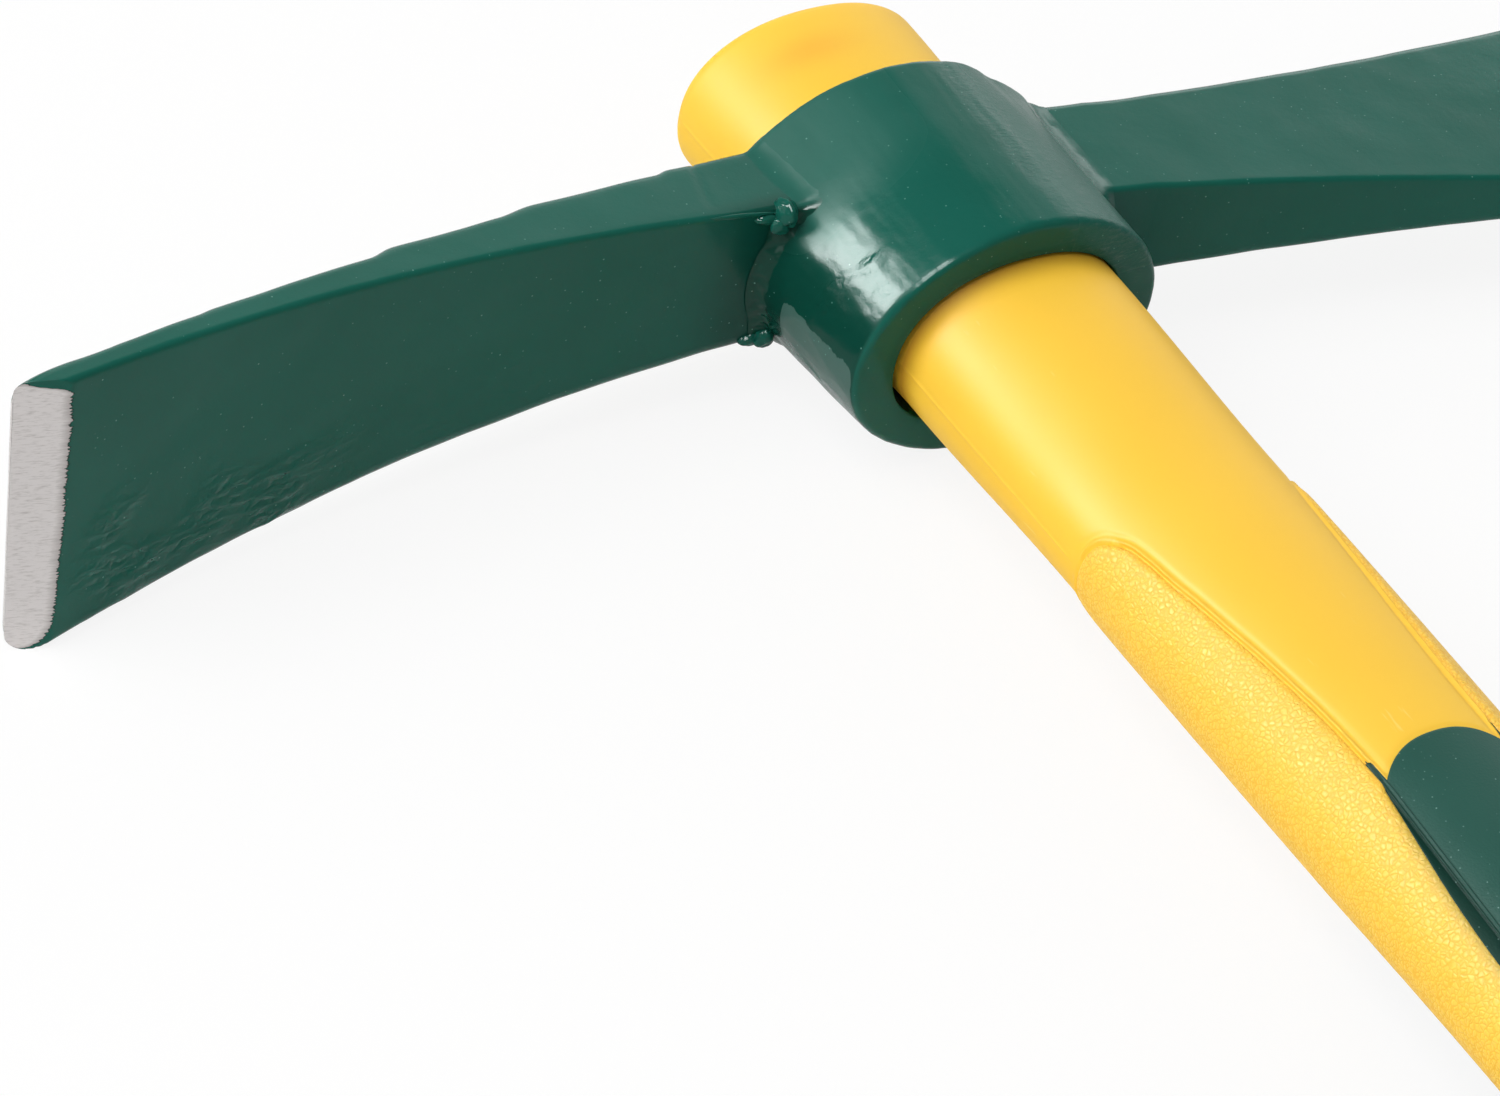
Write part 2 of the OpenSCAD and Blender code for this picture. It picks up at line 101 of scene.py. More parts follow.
def gridNormals(grid, wrapRows=False):
    down = np.roll(grid, -1, 0) - np.roll(grid, 1, 0) if wrapRows else np.gradient(grid, axis=0)
    normals = np.cross(down, np.roll(grid, -1, 1) - np.roll(grid, 1, 1))
    normals /= np.maximum(np.linalg.norm(normals, axis=2, keepdims=True), 1e-9)
    outward = np.sum(normals * (grid - grid.mean(axis=(0, 1))))
    return normals if outward > 0 else -normals


def gridFaces(grid, start=0, wrapRows=False, wrapCols=True):
    rows, cols = grid.shape[:2]
    faces = []
    for i in range(rows if wrapRows else rows - 1):
        for j in range(cols if wrapCols else cols - 1):
            here, below, n = start + i * cols, start + (i + 1) % rows * cols, (j + 1) % cols
            faces.append((here + j, here + n, below + n, below + j))
    return faces


# Makes the mesh object, rides it on the tool's one body and hides its CAD node;
# fields are carried on the points, and one number stands for all of them
def makePiece(name, points, faces, material, node, fields):
    mesh = bpy.data.meshes.new(name)
    mesh.from_pydata(toFrame(np.reshape(points, (-1, 3))).tolist(), [], faces)
    for key, values in fields.items():
        layer = mesh.attributes.new(key, "FLOAT", "POINT")
        layer.data.foreach_set("value", np.resize(np.asarray(values, np.float32), len(mesh.vertices)))
    shape = bmesh.new()
    shape.from_mesh(mesh)
    bmesh.ops.remove_doubles(shape, verts=shape.verts, dist=2e-7)
    bmesh.ops.recalc_face_normals(shape, faces=shape.faces)
    shape.to_mesh(mesh)
    shape.free()
    mesh.shade_smooth()
    mesh.materials.append(material)
    piece = bpy.data.objects.new(name, mesh)
    scene.collection.objects.link(piece)
    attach(piece, "root")
    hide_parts(node)
    print(name, len(mesh.vertices), "points")


# Colours are written as sRGB hex and used as linear light
def hexColour(text):
    channels = [int(text[i:i + 2], 16) / 255 for i in (1, 3, 5)]
    return tuple(c / 12.92 if c <= 0.04045 else ((c + 0.055) / 1.055) ** 2.4 for c in channels) + (1.0,)


# The setting that says what a kind of node does
modes = {"Math": "operation", "VectorMath": "operation", "MapRange": "interpolation_type", "Mix": "data_type",
         "TexVoronoi": "feature", "Attribute": "attribute_name"}


# Adds a node; an input may be a plain value, a hex colour, a socket, or a node whose result is linked,
# and a size in millimetres stands for a pattern's scale
def addNode(tree, kind, inputs=None, mode=None, **settings):
    node = tree.nodes.new("ShaderNode" + kind)
    if mode or kind == "Mix":
        setattr(node, modes[kind], mode or "RGBA")
    for key, value in settings.items():
        setattr(node, key, value)
    for key, value in (inputs or {}).items():
        if key == "sizeMm":
            key, value = "Scale", 1000 / value
        if isinstance(value, bpy.types.Node):
            coloured = value.bl_idname == "ShaderNodeMix" and value.data_type == "RGBA"
            value = value.outputs["Fac"] if "Fac" in value.outputs else value.outputs[2 if coloured else 0]
        if isinstance(value, bpy.types.NodeSocket):
            tree.links.new(value, node.inputs[key])
        else:
            node.inputs[key].default_value = hexColour(value) if isinstance(value, str) else value
    return node


def newMaterial(name):
    material = bpy.data.materials.new(name)
    material.use_nodes = True
    material.node_tree.nodes.clear()
    add = partial(addNode, material.node_tree)
    return material, add, add("TexCoord").outputs["Object"]


def endMaterial(material, add, colour, rough, bump, more):
    inputs = {"Base Color": colour, "Roughness": rough, "Normal": bump, **more}
    add("OutputMaterial", {"Surface": add("BsdfPrincipled", inputs)})
    return material


# Pale specks over a skin: each cell may hold one; ends are the shares of a cell where it fades and is full
def addSpecks(add, place, skin, colour, cellMm, ends, channel, rare):
    cells = add("TexVoronoi", {"Vector": place, "sizeMm": cellMm})
    dot = add("MapRange", {0: cells, 1: ends[0], 2: ends[1]})
    chance = add("SeparateColor", {"Color": cells.outputs["Color"]})
    some = add("MapRange", {0: chance.outputs[channel], 1: rare, 2: 1.0})
    speck = add("Math", {0: dot, 1: some}, "MULTIPLY")
    return add("Mix", {0: speck, 6: skin, 7: colour})


# Cells with their outlines pushed about by a noise of another size
def addBentCells(add, place, bendMm, detail, pushMm, stretch, cellMm):
    bend = add("TexNoise", {"Vector": place, "sizeMm": bendMm, "Detail": detail})
    push = add("VectorMath", {0: bend.outputs["Color"], 3: pushMm / 1000}, "SCALE")
    bent = add("VectorMath", {0: place, 1: push}, "ADD")
    drawn = add("Mapping", {"Vector": bent, "Scale": (stretch, 1.0, 1.0)})
    return add("TexVoronoi", {"Vector": drawn, "sizeMm": cellMm}, "DISTANCE_TO_EDGE")


# Stoved enamel on forged steel: a thick glossy green skin with orange peel and dust nibs,
# ground through to bare bright steel at the cutting edges
# thick paints shade on the eye and the adze; the pale grey-green paints the floor's reflection and the brush marks'
# sheen; bead is the weld's own thick paint
enamel = {"green": "#155f52", "deep": "#115447", "nib": "#5c9184", "thick": "#083b30", "bead": "#093a2e",
          "paintedSheen": "#476860", "steel": "#c8c4c3", "steelDark": "#9c9795", "burr": "#1d2f29",
          "cloudMm": 22, "raggedMm": 2.4, "brushMm": 0.6, "nibMm": 1.3, "frayMm": 0.35, "grindMm": 0.24,
          "peelMm": 1.5, "swellMm": 7, "foldMm": 2.4, "peelDepthMm": 0.04, "steelRough": 0.44}


def makeEnamel(name, gloss, specular, thick):
    material, add, place = newMaterial(name)
    cloud = add("TexNoise", {"Vector": place, "sizeMm": enamel["cloudMm"], "Detail": 3.0})
    skin = add("Mix", {0: cloud, 6: enamel["deep"], 7: enamel["green"]})
    # painted shade: the skin darkens towards the thick colour on the eye's flank towards the adze, on the near rim
    # and in the adze's corner at the eye; on the weld bead the same darkening is its thick paint
    skin = add("Mix", {0: add("Attribute", {}, "pooled"), 6: skin, 7: thick})
    # painted reflection: a pale grey-green patch with a ragged border, where the floor shows in the paint low on
    # the eye's left
    veil = add("Attribute", {}, "veil")
    ragged = add("TexNoise", {"Vector": place, "sizeMm": enamel["raggedMm"], "Detail": 3.0})
    border = add("Math", {0: ragged, 1: 2.6, 2: veil}, "MULTIPLY_ADD")
    paintedSheen = add("MapRange", {0: border, 1: 4.3, 2: 4.5, 4: 0.85})
    skin = add("Mix", {0: paintedSheen, 6: skin, 7: enamel["paintedSheen"]})
    # where the paint dried thin, brush marks roughen the bump and show as pale scratches, a painted sheen
    brushed = add("Attribute", {}, "brushed")
    hairs = add("Mapping", {"Vector": place, "Rotation": (0.0, 0.5, 0.6), "Scale": (0.3, 1.0, 1.0)})
    brush = add("TexNoise", {"Vector": hairs, "sizeMm": enamel["brushMm"], "Detail": 4.0, "Roughness": 0.7})
    streak = add("MapRange", {0: brush, 1: 0.54, 2: 0.7, 4: 0.8})
    pale = add("Math", {0: streak, 1: brushed}, "MULTIPLY")
    skin = add("Mix", {0: pale, 6: skin, 7: enamel["paintedSheen"]})
    # dust nibs are drawn at 0.25 mm, twice their real size, so that they show
    skin = addSpecks(add, place, skin, enamel["nib"], enamel["nibMm"], (0.11, 0.07), "Red", 0.45)
    # bare steel: distance past the paint's edge in mm, frayed along the grinding lines
    bare = add("Attribute", {}, "bareMm")
    strokes = add("Mapping", {"Vector": place, "Scale": (0.16, 0.16, 1.0)})
    fray = add("TexNoise", {"Vector": strokes, "sizeMm": enamel["frayMm"], "Detail": 4.0})
    torn = add("Math", {0: fray, 1: 3.0, 2: -1.5}, "MULTIPLY_ADD")
    past = add("Math", {0: bare, 1: torn}, "ADD")
    mask = add("MapRange", {0: past, 1: 0.0, 2: 0.22}, "SMOOTHSTEP")
    rim = add("MapRange", {0: past, 1: -0.55, 2: 0.05}, "SMOOTHSTEP")
    skin = add("Mix", {0: rim, 6: skin, 7: enamel["burr"]})
    grind = add("TexNoise", {"Vector": strokes, "sizeMm": enamel["grindMm"], "Detail": 5.0, "Roughness": 0.65})
    grey = add("MapRange", {0: grind, 1: 0.2, 2: 0.5})
    worn = add("MapRange", {0: past, 1: 0.0, 2: 2.4, 3: 0.1, 4: 1.0})
    grey = add("Math", {0: grey, 1: worn}, "MULTIPLY")
    steel = add("Mix", {0: grey, 6: enamel["steelDark"], 7: enamel["steel"]})
    colour = add("Mix", {0: mask, 6: skin, 7: steel})
    # orange peel over a slower swell, crinkled folds where the forging wrinkled or the paint sagged, brush marks
    peel = add("TexNoise", {"Vector": place, "sizeMm": enamel["peelMm"], "Detail": 4.0, "Roughness": 0.7})
    swell = add("TexNoise", {"Vector": place, "sizeMm": enamel["swellMm"], "Detail": 1.0})
    coat = add("Math", {0: swell, 1: 2.0, 2: peel}, "MULTIPLY_ADD")
    creases = addBentCells(add, place, 2.6, 2.0, 3.0, 0.55, enamel["foldMm"])
    ridge = add("MapRange", {0: creases, 1: 0.6, 2: 0.0, 4: 7.0}, "SMOOTHSTEP")
    folds = add("Attribute", {}, "folds")
    coat = add("Math", {0: ridge, 1: folds, 2: coat}, "MULTIPLY_ADD")
    marks = add("Math", {0: brush, 1: brushed}, "MULTIPLY")
    coat = add("Math", {0: marks, 1: 3.0, 2: coat}, "MULTIPLY_ADD")
    height = add("Mix", {0: mask, 2: coat, 3: grind}, "FLOAT")
    bump = add("Bump", {"Height": height, "Distance": enamel["peelDepthMm"] / 1000})
    sheen = add("MapRange", {0: cloud, 1: 0.3, 2: 0.7, 3: gloss - 0.03, 4: gloss + 0.04})
    dry = add("Attribute", {}, "dry")
    sheen = add("Math", {0: dry, 1: 0.3, 2: sheen}, "MULTIPLY_ADD")
    rough = add("Mix", {0: mask, 2: sheen, 3: enamel["steelRough"]}, "FLOAT")
    return endMaterial(material, add, colour, rough, bump, {"Metallic": mask, "Specular IOR Level": specular})


# Polypropylene straight from a polished mould: even warm yellow, satin, with handling scuffs
# the darkest tint paints shade on the handle under the eye
yellow = {"body": "#f9c93a", "warm": "#f8c436", "scuff": "#ffe07a", "gate": "#f3ab30", "rimShadeTint": "#ac7816",
          "cloudMm": 30, "scuffMm": 0.8, "patchMm": 9, "fineMm": 0.5, "flowMm": 7, "depthMm": 0.007, "gloss": 0.5}


def makeYellow():
    material, add, place = newMaterial("yellowMouldedPolypropylene")
    cloud = add("TexNoise", {"Vector": place, "sizeMm": yellow["cloudMm"], "Detail": 2.0})
    colour = add("Mix", {0: cloud, 6: yellow["warm"], 7: yellow["body"]})
    drag = add("Mapping", {"Vector": place, "Rotation": (0.0, 0.0, 0.5), "Scale": (1.0, 0.12, 1.0)})
    line = add("TexNoise", {"Vector": drag, "sizeMm": yellow["scuffMm"], "Detail": 2.0})
    patch = add("TexNoise", {"Vector": place, "sizeMm": yellow["patchMm"], "Detail": 1.0})
    deep = add("Math", {0: line, 1: patch}, "MULTIPLY")
    scuff = add("MapRange", {0: deep, 1: 0.44, 2: 0.5, 4: 0.45})
    colour = add("Mix", {0: scuff, 6: colour, 7: yellow["scuff"]})
    # a warmer smear where the mould was filled, and painted shade on the handle under the eye
    for key, tint in (("smear", "gate"), ("soil", "rimShadeTint")):
        colour = add("Mix", {0: add("Attribute", {}, key), 6: colour, 7: yellow[tint]})
    fine = add("TexNoise", {"Vector": place, "sizeMm": yellow["fineMm"], "Detail": 2.0})
    flow = add("TexNoise", {"Vector": place, "sizeMm": yellow["flowMm"], "Detail": 1.0})
    relief = add("Math", {0: flow, 1: 5.0, 2: fine}, "MULTIPLY_ADD")
    bump = add("Bump", {"Height": relief, "Distance": yellow["depthMm"] / 1000})
    rough = add("MapRange", {0: cloud, 1: 0.3, 2: 0.7, 3: yellow["gloss"] - 0.03, 4: yellow["gloss"] + 0.05})
    return endMaterial(material, add, colour, rough, bump, {"Specular IOR Level": 0.2})


# Thermoplastic rubber from a spark-eroded mould: a soft leathery grain, with a painted highlight on the tops
# and painted shade in the valleys; thin over the green along its lower border
grain = {"top": "#fdcf4e", "valleyShade": "#f6bd3a", "under": "#a79b45", "cellMm": 0.72, "depthMm": 0.06, "gloss": 0.44}


def makeGrain():
    material, add, place = newMaterial("yellowGrainedRubber")
    cells = addBentCells(add, place, 0.9, 1.0, 0.6, 1.0, grain["cellMm"])
    relief = add("MapRange", {0: cells, 2: 0.3}, "SMOOTHSTEP")
    bump = add("Bump", {"Height": relief, "Distance": grain["depthMm"] / 1000})
    # painted highlight on the cell tops and painted shade in the valleys
    tone = add("MapRange", {0: cells, 2: 0.16}, "SMOOTHSTEP")
    colour = add("Mix", {0: tone, 6: grain["valleyShade"], 7: grain["top"]})
    colour = add("Mix", {0: add("Attribute", {}, "thin"), 6: colour, 7: grain["under"]})
    rough = add("MapRange", {0: tone, 3: grain["gloss"] + 0.14, 4: grain["gloss"] - 0.04})
    return endMaterial(material, add, colour, rough, bump, {"Specular IOR Level": 0.16})


# Green thermoplastic rubber from a fine-matt mould: soft even sheen with specks of lint;
# the real matting is about 0.1 mm and is drawn at 0.35 mm so that it shows
rubber = {"green": "#22564b", "deep": "#1d4d43", "groove": "#0f3a30", "lint": "#6f9a90", "cloudMm": 14,
          "lintMm": 0.95, "mattMm": 0.35, "depthMm": 0.05, "gloss": 0.48}


def makeRubber():
    material, add, place = newMaterial("greenSoftTouchRubber")
    cloud = add("TexNoise", {"Vector": place, "sizeMm": rubber["cloudMm"], "Detail": 4.0})
    skin = add("Mix", {0: cloud, 6: rubber["deep"], 7: rubber["green"]})
    # painted shade: darker green in the groove beside the pads and on the beads
    skin = add("Mix", {0: add("Attribute", {}, "sunk"), 6: skin, 7: rubber["groove"]})
    colour = addSpecks(add, place, skin, rubber["lint"], rubber["lintMm"], (0.14, 0.08), "Green", 0.3)
    matt = add("TexNoise", {"Vector": place, "sizeMm": rubber["mattMm"], "Detail": 2.0})
    bump = add("Bump", {"Height": matt, "Distance": rubber["depthMm"] / 1000})
    rough = add("MapRange", {0: cloud, 1: 0.3, 2: 0.7, 3: rubber["gloss"] - 0.04, 4: rubber["gloss"] + 0.06})
    return endMaterial(material, add, colour, rough, bump, {"Specular IOR Level": 0.11})


# Pultruded glass fibre in polyester: a sawn end of pale straw-coloured bundles
fibre = {"resin": "#b9a86c", "strand": "#e4dab2", "strandMm": 0.6, "depthMm": 0.06, "gloss": 0.55}


def makeFibre():
    material, add, place = newMaterial("sawnGlassFibre")
    run = add("Mapping", {"Vector": place, "Scale": (1.0, 0.04, 1.0)})
    cells = add("TexVoronoi", {"Vector": run, "sizeMm": fibre["strandMm"]})
    colour = add("Mix", {0: cells, 6: fibre["strand"], 7: fibre["resin"]})
    bump = add("Bump", {"Height": cells, "Distance": fibre["depthMm"] / 1000, "Strength": 0.8})
    return endMaterial(material, add, colour, fibre["gloss"], bump, {})


greenEnamel = makeEnamel("greenStovedEnamel", 0.16, 0.12, enamel["thick"])
pooledEnamel = makeEnamel("greenPooledEnamel", 0.1, 0.15, enamel["bead"])
yellowPlastic = makeYellow()
yellowRubber = makeGrain()
greenRubber = makeRubber()
glassFibre = makeFibre()
print("materials made")

# Distance past the paint's edge, in mm, on pieces that are painted all over
painted = -9.0

# Eye: a tapered oval ring of forged steel, with widths and depths at the lower and the upper rim. Blows are middle,
# squared reach and height: the far rim is hammered flat beside the axe and stands up where it meets it
eye = {"low": -17.8, "top": 17.8, "outside": ((49.4, 39.8), (52.8, 43.0)), "hole": ((36.3, 28.1), (38.8, 28.9)),
       "lean": 1.8, "outsidePower": 1.95, "holePower": 2.2, "rimRound": 1.1, "lipRound": 0.4, "around": 420,
       "dentMm": 0.1, "streakMm": 0.06, "runMm": 0.1,
       "blows": (((15.5, 17.0, 16.0), (16, 30, 12), -0.75), ((22.0, 16.5, 9.0), (6, 14, 9), 0.7))}


def eyeShare(y):
    return (np.asarray(y, float) - eye["low"]) / (eye["top"] - eye["low"])


def eyeHalf(y, part="outside"):
    (lowWide, lowDeep), (topWide, topDeep) = eye[part]
    s = eyeShare(y)
    return mix(lowWide, topWide, s) / 2, mix(lowDeep, topDeep, s) / 2


# The eye's middle moves towards the adze from the lower rim to the upper rim
def eyeShift(y):
    return -eye["lean"] * eyeShare(y)


# Distance of the eye's outside from its own middle, at a height y and a depth z
def eyeX(y, z):
    wide, deep = eyeHalf(y)
    k = np.minimum(1, np.abs(z) / deep)
    return wide * (1 - k ** eye["outsidePower"]) ** (1 / eye["outsidePower"])


# Points at (y, z) that stand off the eye's outside, on the axe's side for sign 1 and the adze's for -1
def onEye(yz, stand, sign):
    x = eyeShift(yz[:, 0]) + sign * (eyeX(yz[:, 0], yz[:, 1]) + stand)
    return np.column_stack([x, yz])


def makeEye():
    r, lip = eye["rimRound"], eye["lipRound"]
    low, top = eye["low"], eye["top"]
    angles = np.linspace(0, 2 * np.pi, eye["around"], endpoint=False)
    turn = np.linspace(0, np.pi / 2, 8)

    def ring(y, grow, part="outside"):
        x, z = oval(*(half + grow for half in eyeHalf(y, part)), angles, eye[part + "Power"])
        middle = eyeShift(y) if part == "outside" else 0
        return np.stack([x + middle, np.full_like(x, y), z], axis=1)

    rows = [ring(low + r - r * np.cos(a), r * np.sin(a) - r) for a in turn]
    rows += [ring(y, 0) for y in np.linspace(low + r, top - r, 64)[1:-1]]
    rows += [ring(top - r + r * np.cos(a), r * np.sin(a) - r) for a in turn[::-1]]
    skin = len(rows)
    between = (1 / 3, 2 / 3)
    topOuter, topInner = rows[-1], ring(top, lip, "hole")
    rows += [mix(topOuter, topInner, t) for t in between]
    rows += [ring(top - lip + lip * np.cos(a), lip - lip * np.sin(a), "hole") for a in turn[::2]]
    rows += [ring(y, 0, "hole") for y in np.linspace(top - lip, low + lip, 14)[1:-1]]
    rows += [ring(low + lip - lip * np.cos(a), lip - lip * np.sin(a), "hole") for a in turn[::-2]]
    lowInner, lowOuter = rows[-1], rows[0]
    rows += [mix(lowInner, lowOuter, t) for t in between]
    grid = np.array(rows)
    x, y, z = grid[..., 0], grid[..., 1], grid[..., 2]
    normals = gridNormals(grid, True)
    # shallow dents all over, faint streaks along the eye, and sagged paint on the side above the adze
    lift = eye["dentMm"] * (waver(grid, 14) + 0.4 * waver(grid, 6, 3.7))
    drawn = grid * (1, 0.16, 1)
    lift += eye["streakMm"] * (waver(drawn, 2.6, 5.3) + 0.5 * waver(drawn, 1.1, 8.2))
    for middle, reach, high in eye["blows"]:
        lift += high * spot(grid, middle, reach)
    runs = ramp(-13, -19, x) * ramp(low, low + 6, y)
    lift += eye["runMm"] * runs * (waver(grid * (1, 0.6, 1), 3.2, 9.1) + 0.35 * waver(grid, 1.4, 2.6))
    lift[skin + 2:] *= 0.3
    grid += normals * lift[..., None]
    # the paint: sagged; painted shade on the flank towards the adze and on the near rim; a painted reflection low
    # on the left; dry and brushed elsewhere
    sag = 0.55 * runs * ramp(0.1, 0.5, waver(grid, 5, 3.1)) * ramp(0.4, 0.9, np.abs(normals[..., 0]))
    # painted shade on the flank facing the adze and, faintly, on faces turned to the near rim
    pooled = 0.9 * ramp(-0.72, -0.92, normals[..., 0]) + 0.1 * ramp(-0.6, -0.9, normals[..., 1])
    # painted reflection of the floor, low on the left of the eye
    veil = np.clip(3.8 - z, 0, 6) * (x < 0) * ramp(-0.3, -1.4, y) * ramp(low, low + 1.5, y)
    # brush marks with a painted sheen on the eye's upper side towards the axe, and faintly in the highlight
    axeSide = ramp(1, 12, x) * ramp(3, 9, z)
    shine = ramp(4, 9, z) * ramp(-6, -11, x) * ramp(3, -3, y)
    dry = 1.8 * ramp(-5, 7, y) * ramp(3, 11, z) * ramp(3, -19, x) + 0.5 * axeSide + 0.1 * shine
    makePiece("forgedEye", grid, gridFaces(grid, 0, True), greenEnamel, "eye_socket",
              {"bareMm": painted, "folds": sag, "pooled": pooled, "veil": veil, "dry": dry,
               "brushed": axeSide + 0.06 * shine})


makeEye()


# Rounded rectangle, w across and t high, with four corner radii and points along its sides
def blockSection(w, t, radii, across, up, corner):
    arcs = []
    for k, (sx, sy) in enumerate(((1, 1), (-1, 1), (-1, -1), (1, -1))):
        r = min(radii[k], 0.45 * t, 0.45 * w)
        a = np.radians(90 * k + 90 * np.linspace(0, 1, corner))
        arcs.append(np.stack([sx * (w / 2 - r) + r * np.cos(a), sy * (t / 2 - r) + r * np.sin(a)], axis=1))
    parts = []
    for k in range(4):
        steps = across if k % 2 == 0 else up
        share = np.linspace(0, 1, steps + 1)[1:-1, None]
        parts += [arcs[k], mix(arcs[k][-1], arcs[(k + 1) % 4][0], share)]
    return np.concatenate(parts)


# Row of a blade's points at u from the eye: it starts a little inside the eye and soon runs free of it
def bladeRow(blade, yz, u, freeX, sign):
    row = onEye(yz, -blade["sink"], sign)
    row[:, 0] = mix(row[:, 0], freeX, min(1.0, u / blade["blendU"]))
    return row


# The cutting edge is closed with a ring of its own so that it stays crisp
def closeEdge(grid):
    start, n = grid[..., 0].size, grid.shape[1]
    points = np.concatenate([grid.reshape(-1, 3), mix(grid[-1], grid[-1].mean(axis=0), 0.02)])
    return points, gridFaces(grid) + gridFaces(grid[-2:], start - n) + [tuple(range(start, start + n))]


# Adze: broad blade square to the handle, curving down, with one ground bevel inside;
# its laps are steps of the forging, as place, width, height and run towards the eye
adze = {"reach": 141.93, "rootX": 24.7, "rootWide": 24.5, "edgeWide": 47.3, "rootThick": 13.7, "edgeThick": 4.1,
        "curveRadius": 341.0, "liftDeg": 4.25, "bevelLong": 6.8, "cornerRound": 3.0, "upperRound": 1.5,
        "upperFall": 0.9, "edgeRound": 1.8, "crispRound": 0.8, "heelRound": 2.8, "lip": 0.5, "skewMm": 0.8,
        "topY": 17.8, "taperPower": 2.1, "blendU": 7.0, "sink": 0.7, "dentMm": 0.12, "wrinkleMm": 0.2,
        "laps": ((102, 1.4, 0.12, 9), (88, 1.6, 0.3, 9), (60, 2.0, 0.75, 13), (38, 3.2, 0.85, 16),
                 (13.3, 1.2, 0.55, 8))}
adze["long"] = adze["reach"] - adze["rootX"]


def adzeInner(u):
    rise = u * math.tan(math.radians(adze["liftDeg"])) - u * u / (2 * adze["curveRadius"])
    return adze["topY"] - adze["rootThick"] + rise


def adzeThick(u):
    return mix(adze["edgeThick"], adze["rootThick"], np.maximum(0.0, 1 - u / adze["long"]) ** adze["taperPower"])


# How far a rounded corner of the edge draws the side in
def adzeTuck(u, r):
    c = max(0.0, u - adze["long"] + r)
    return r - math.sqrt(max(0.0, r * r - c * c))


def adzeWide(u):
    flared = mix(adze["rootWide"], adze["edgeWide"], max(0.0, u) / adze["long"])
    return flared - 2 * adzeTuck(u, adze["cornerRound"])


# Section of the adze at u from the eye, as (y, z)
def adzeSection(u, grow=0.0, across=92, up=9, corner=6):
    t, w = adzeThick(u), adzeWide(u)
    radii = [adze[key] + grow for key in ("edgeRound", "edgeRound", "heelRound", "crispRound")]
    p = blockSection(w + 2 * grow, t + 2 * grow, radii, across, up, corner)
    return np.stack([adzeInner(u) + t / 2 + p[:, 1], p[:, 0]], axis=1)


def makeAdze():
    length, bevelU = adze["long"], adze["long"] - adze["bevelLong"]
    stations = stretches(0, (adze["blendU"], 8), (bevelU - 3, 164), (length - 0.6, 27), (length - 0.3, 1),
                         (length - 0.12, 1), (length, 1))
    rows = []
    for u in stations:
        yz = adzeSection(u)
        more = (adzeTuck(u, adze["cornerRound"]) - adzeTuck(u, adze["upperRound"])
                - adze["upperFall"] * max(0.0, 1 - (length - u) / 6) ** 2)
        yz[:, 1] *= np.where(yz[:, 1] > 0, 1 + 2 * more / adzeWide(u), 1)
        rows.append(bladeRow(adze, yz, u, -adze["rootX"] - u, -1))
    grid = np.array(rows)
    x, y, z = grid[..., 0], grid[..., 1], grid[..., 2]
    along = np.broadcast_to(stations[:, None], grid.shape[:2])
    side = z / (adze["edgeWide"] / 2)
    inner, thick = adzeInner(stations)[:, None], adzeThick(stations)[:, None]
    depth = (y - inner) / thick  # 0 on the inner face, 1 on the outer
    normals = gridNormals(grid)
    lift = adze["dentMm"] * (waver(grid, 16, 1.3) + 0.6 * waver(grid, 6, 5.1))
    # forging wrinkles low on the inner face, drawn out along the blade
    fold = waver(np.stack([along / 6.5, z / 1.9, depth * 0], axis=2), 1.0, 2.2)
    crease = np.maximum(0, 1 - 3.2 * np.abs(fold)) ** 1.5
    zone = ((ramp(62, 82, along) + 0.2 * ramp(10, 50, along)) * ramp(113, 103, along)
            * ramp(3, -9, z) * ramp(0.3, 0.05, depth))
    folds = zone * ramp(-0.3, 0.4, waver(grid, 9, 7.7))
    lift += adze["wrinkleMm"] * folds * (crease - 0.25)
    # forging laps along the outer upper edge, each a step up towards the eye, and a crease near the eye
    half = np.abs(z).max(axis=1, keepdims=True) * 2 / adze["edgeWide"]
    ridge = ramp(0.5, 0.95, side / np.maximum(0.05, half))
    lap = sum(high * ramp(-wide, wide, at - along) * np.exp(-np.maximum(0, at - along) / run)
              for at, wide, high, run in adze["laps"])
    lift -= 0.16 * hump(along + 0.3 * (y - 12), 9.5, 0.4) * ridge * ramp(0.1, 0.4, depth)
    rooted = ramp(0, 6, along)
    grid += normals * (lift * rooted)[..., None]
    y += (lap - 0.25) * ridge * ramp(0.45, 1, depth) * rooted * ramp(bevelU, bevelU - 6, along)
    # the ground bevel: a flat from the cutting edge up to the inner face, with paint left over both corners
    edgeY = adzeInner(length) + adzeThick(length) - adze["lip"]
    slope = (edgeY - adzeInner(bevelU)) / adze["bevelLong"]
    tall = 1 + 0.1 * side - 0.16 * ramp(0.2, -1, side)
    flat = edgeY - slope * (length - along) / tall
    bare = (flat - y) / slope - 5.2 * ramp(-16.5, -25, z) ** 1.6
    bare -= 10 * ramp(20.4, 22.6, z) ** 2
    y[:] = np.maximum(y, np.minimum(flat, inner + thick - adze["lip"]))
    x -= adze["skewMm"] * side * (along / length) ** 2
    points, faces = closeEdge(grid)
    ring = np.ones(grid.shape[1])
    # painted shade: the inner face darkens in the corner at the eye
    pooled = 0.8 * ramp(15, 2, along) * ramp(0.3, 0.05, depth)
    makePiece("forgedAdze", points, faces, greenEnamel, "adze_blade",
              {"bareMm": np.append(bare, 2.0 * ring), "folds": np.append(folds, 0 * ring),
               "pooled": np.append(pooled, 0 * ring)})


makeAdze()

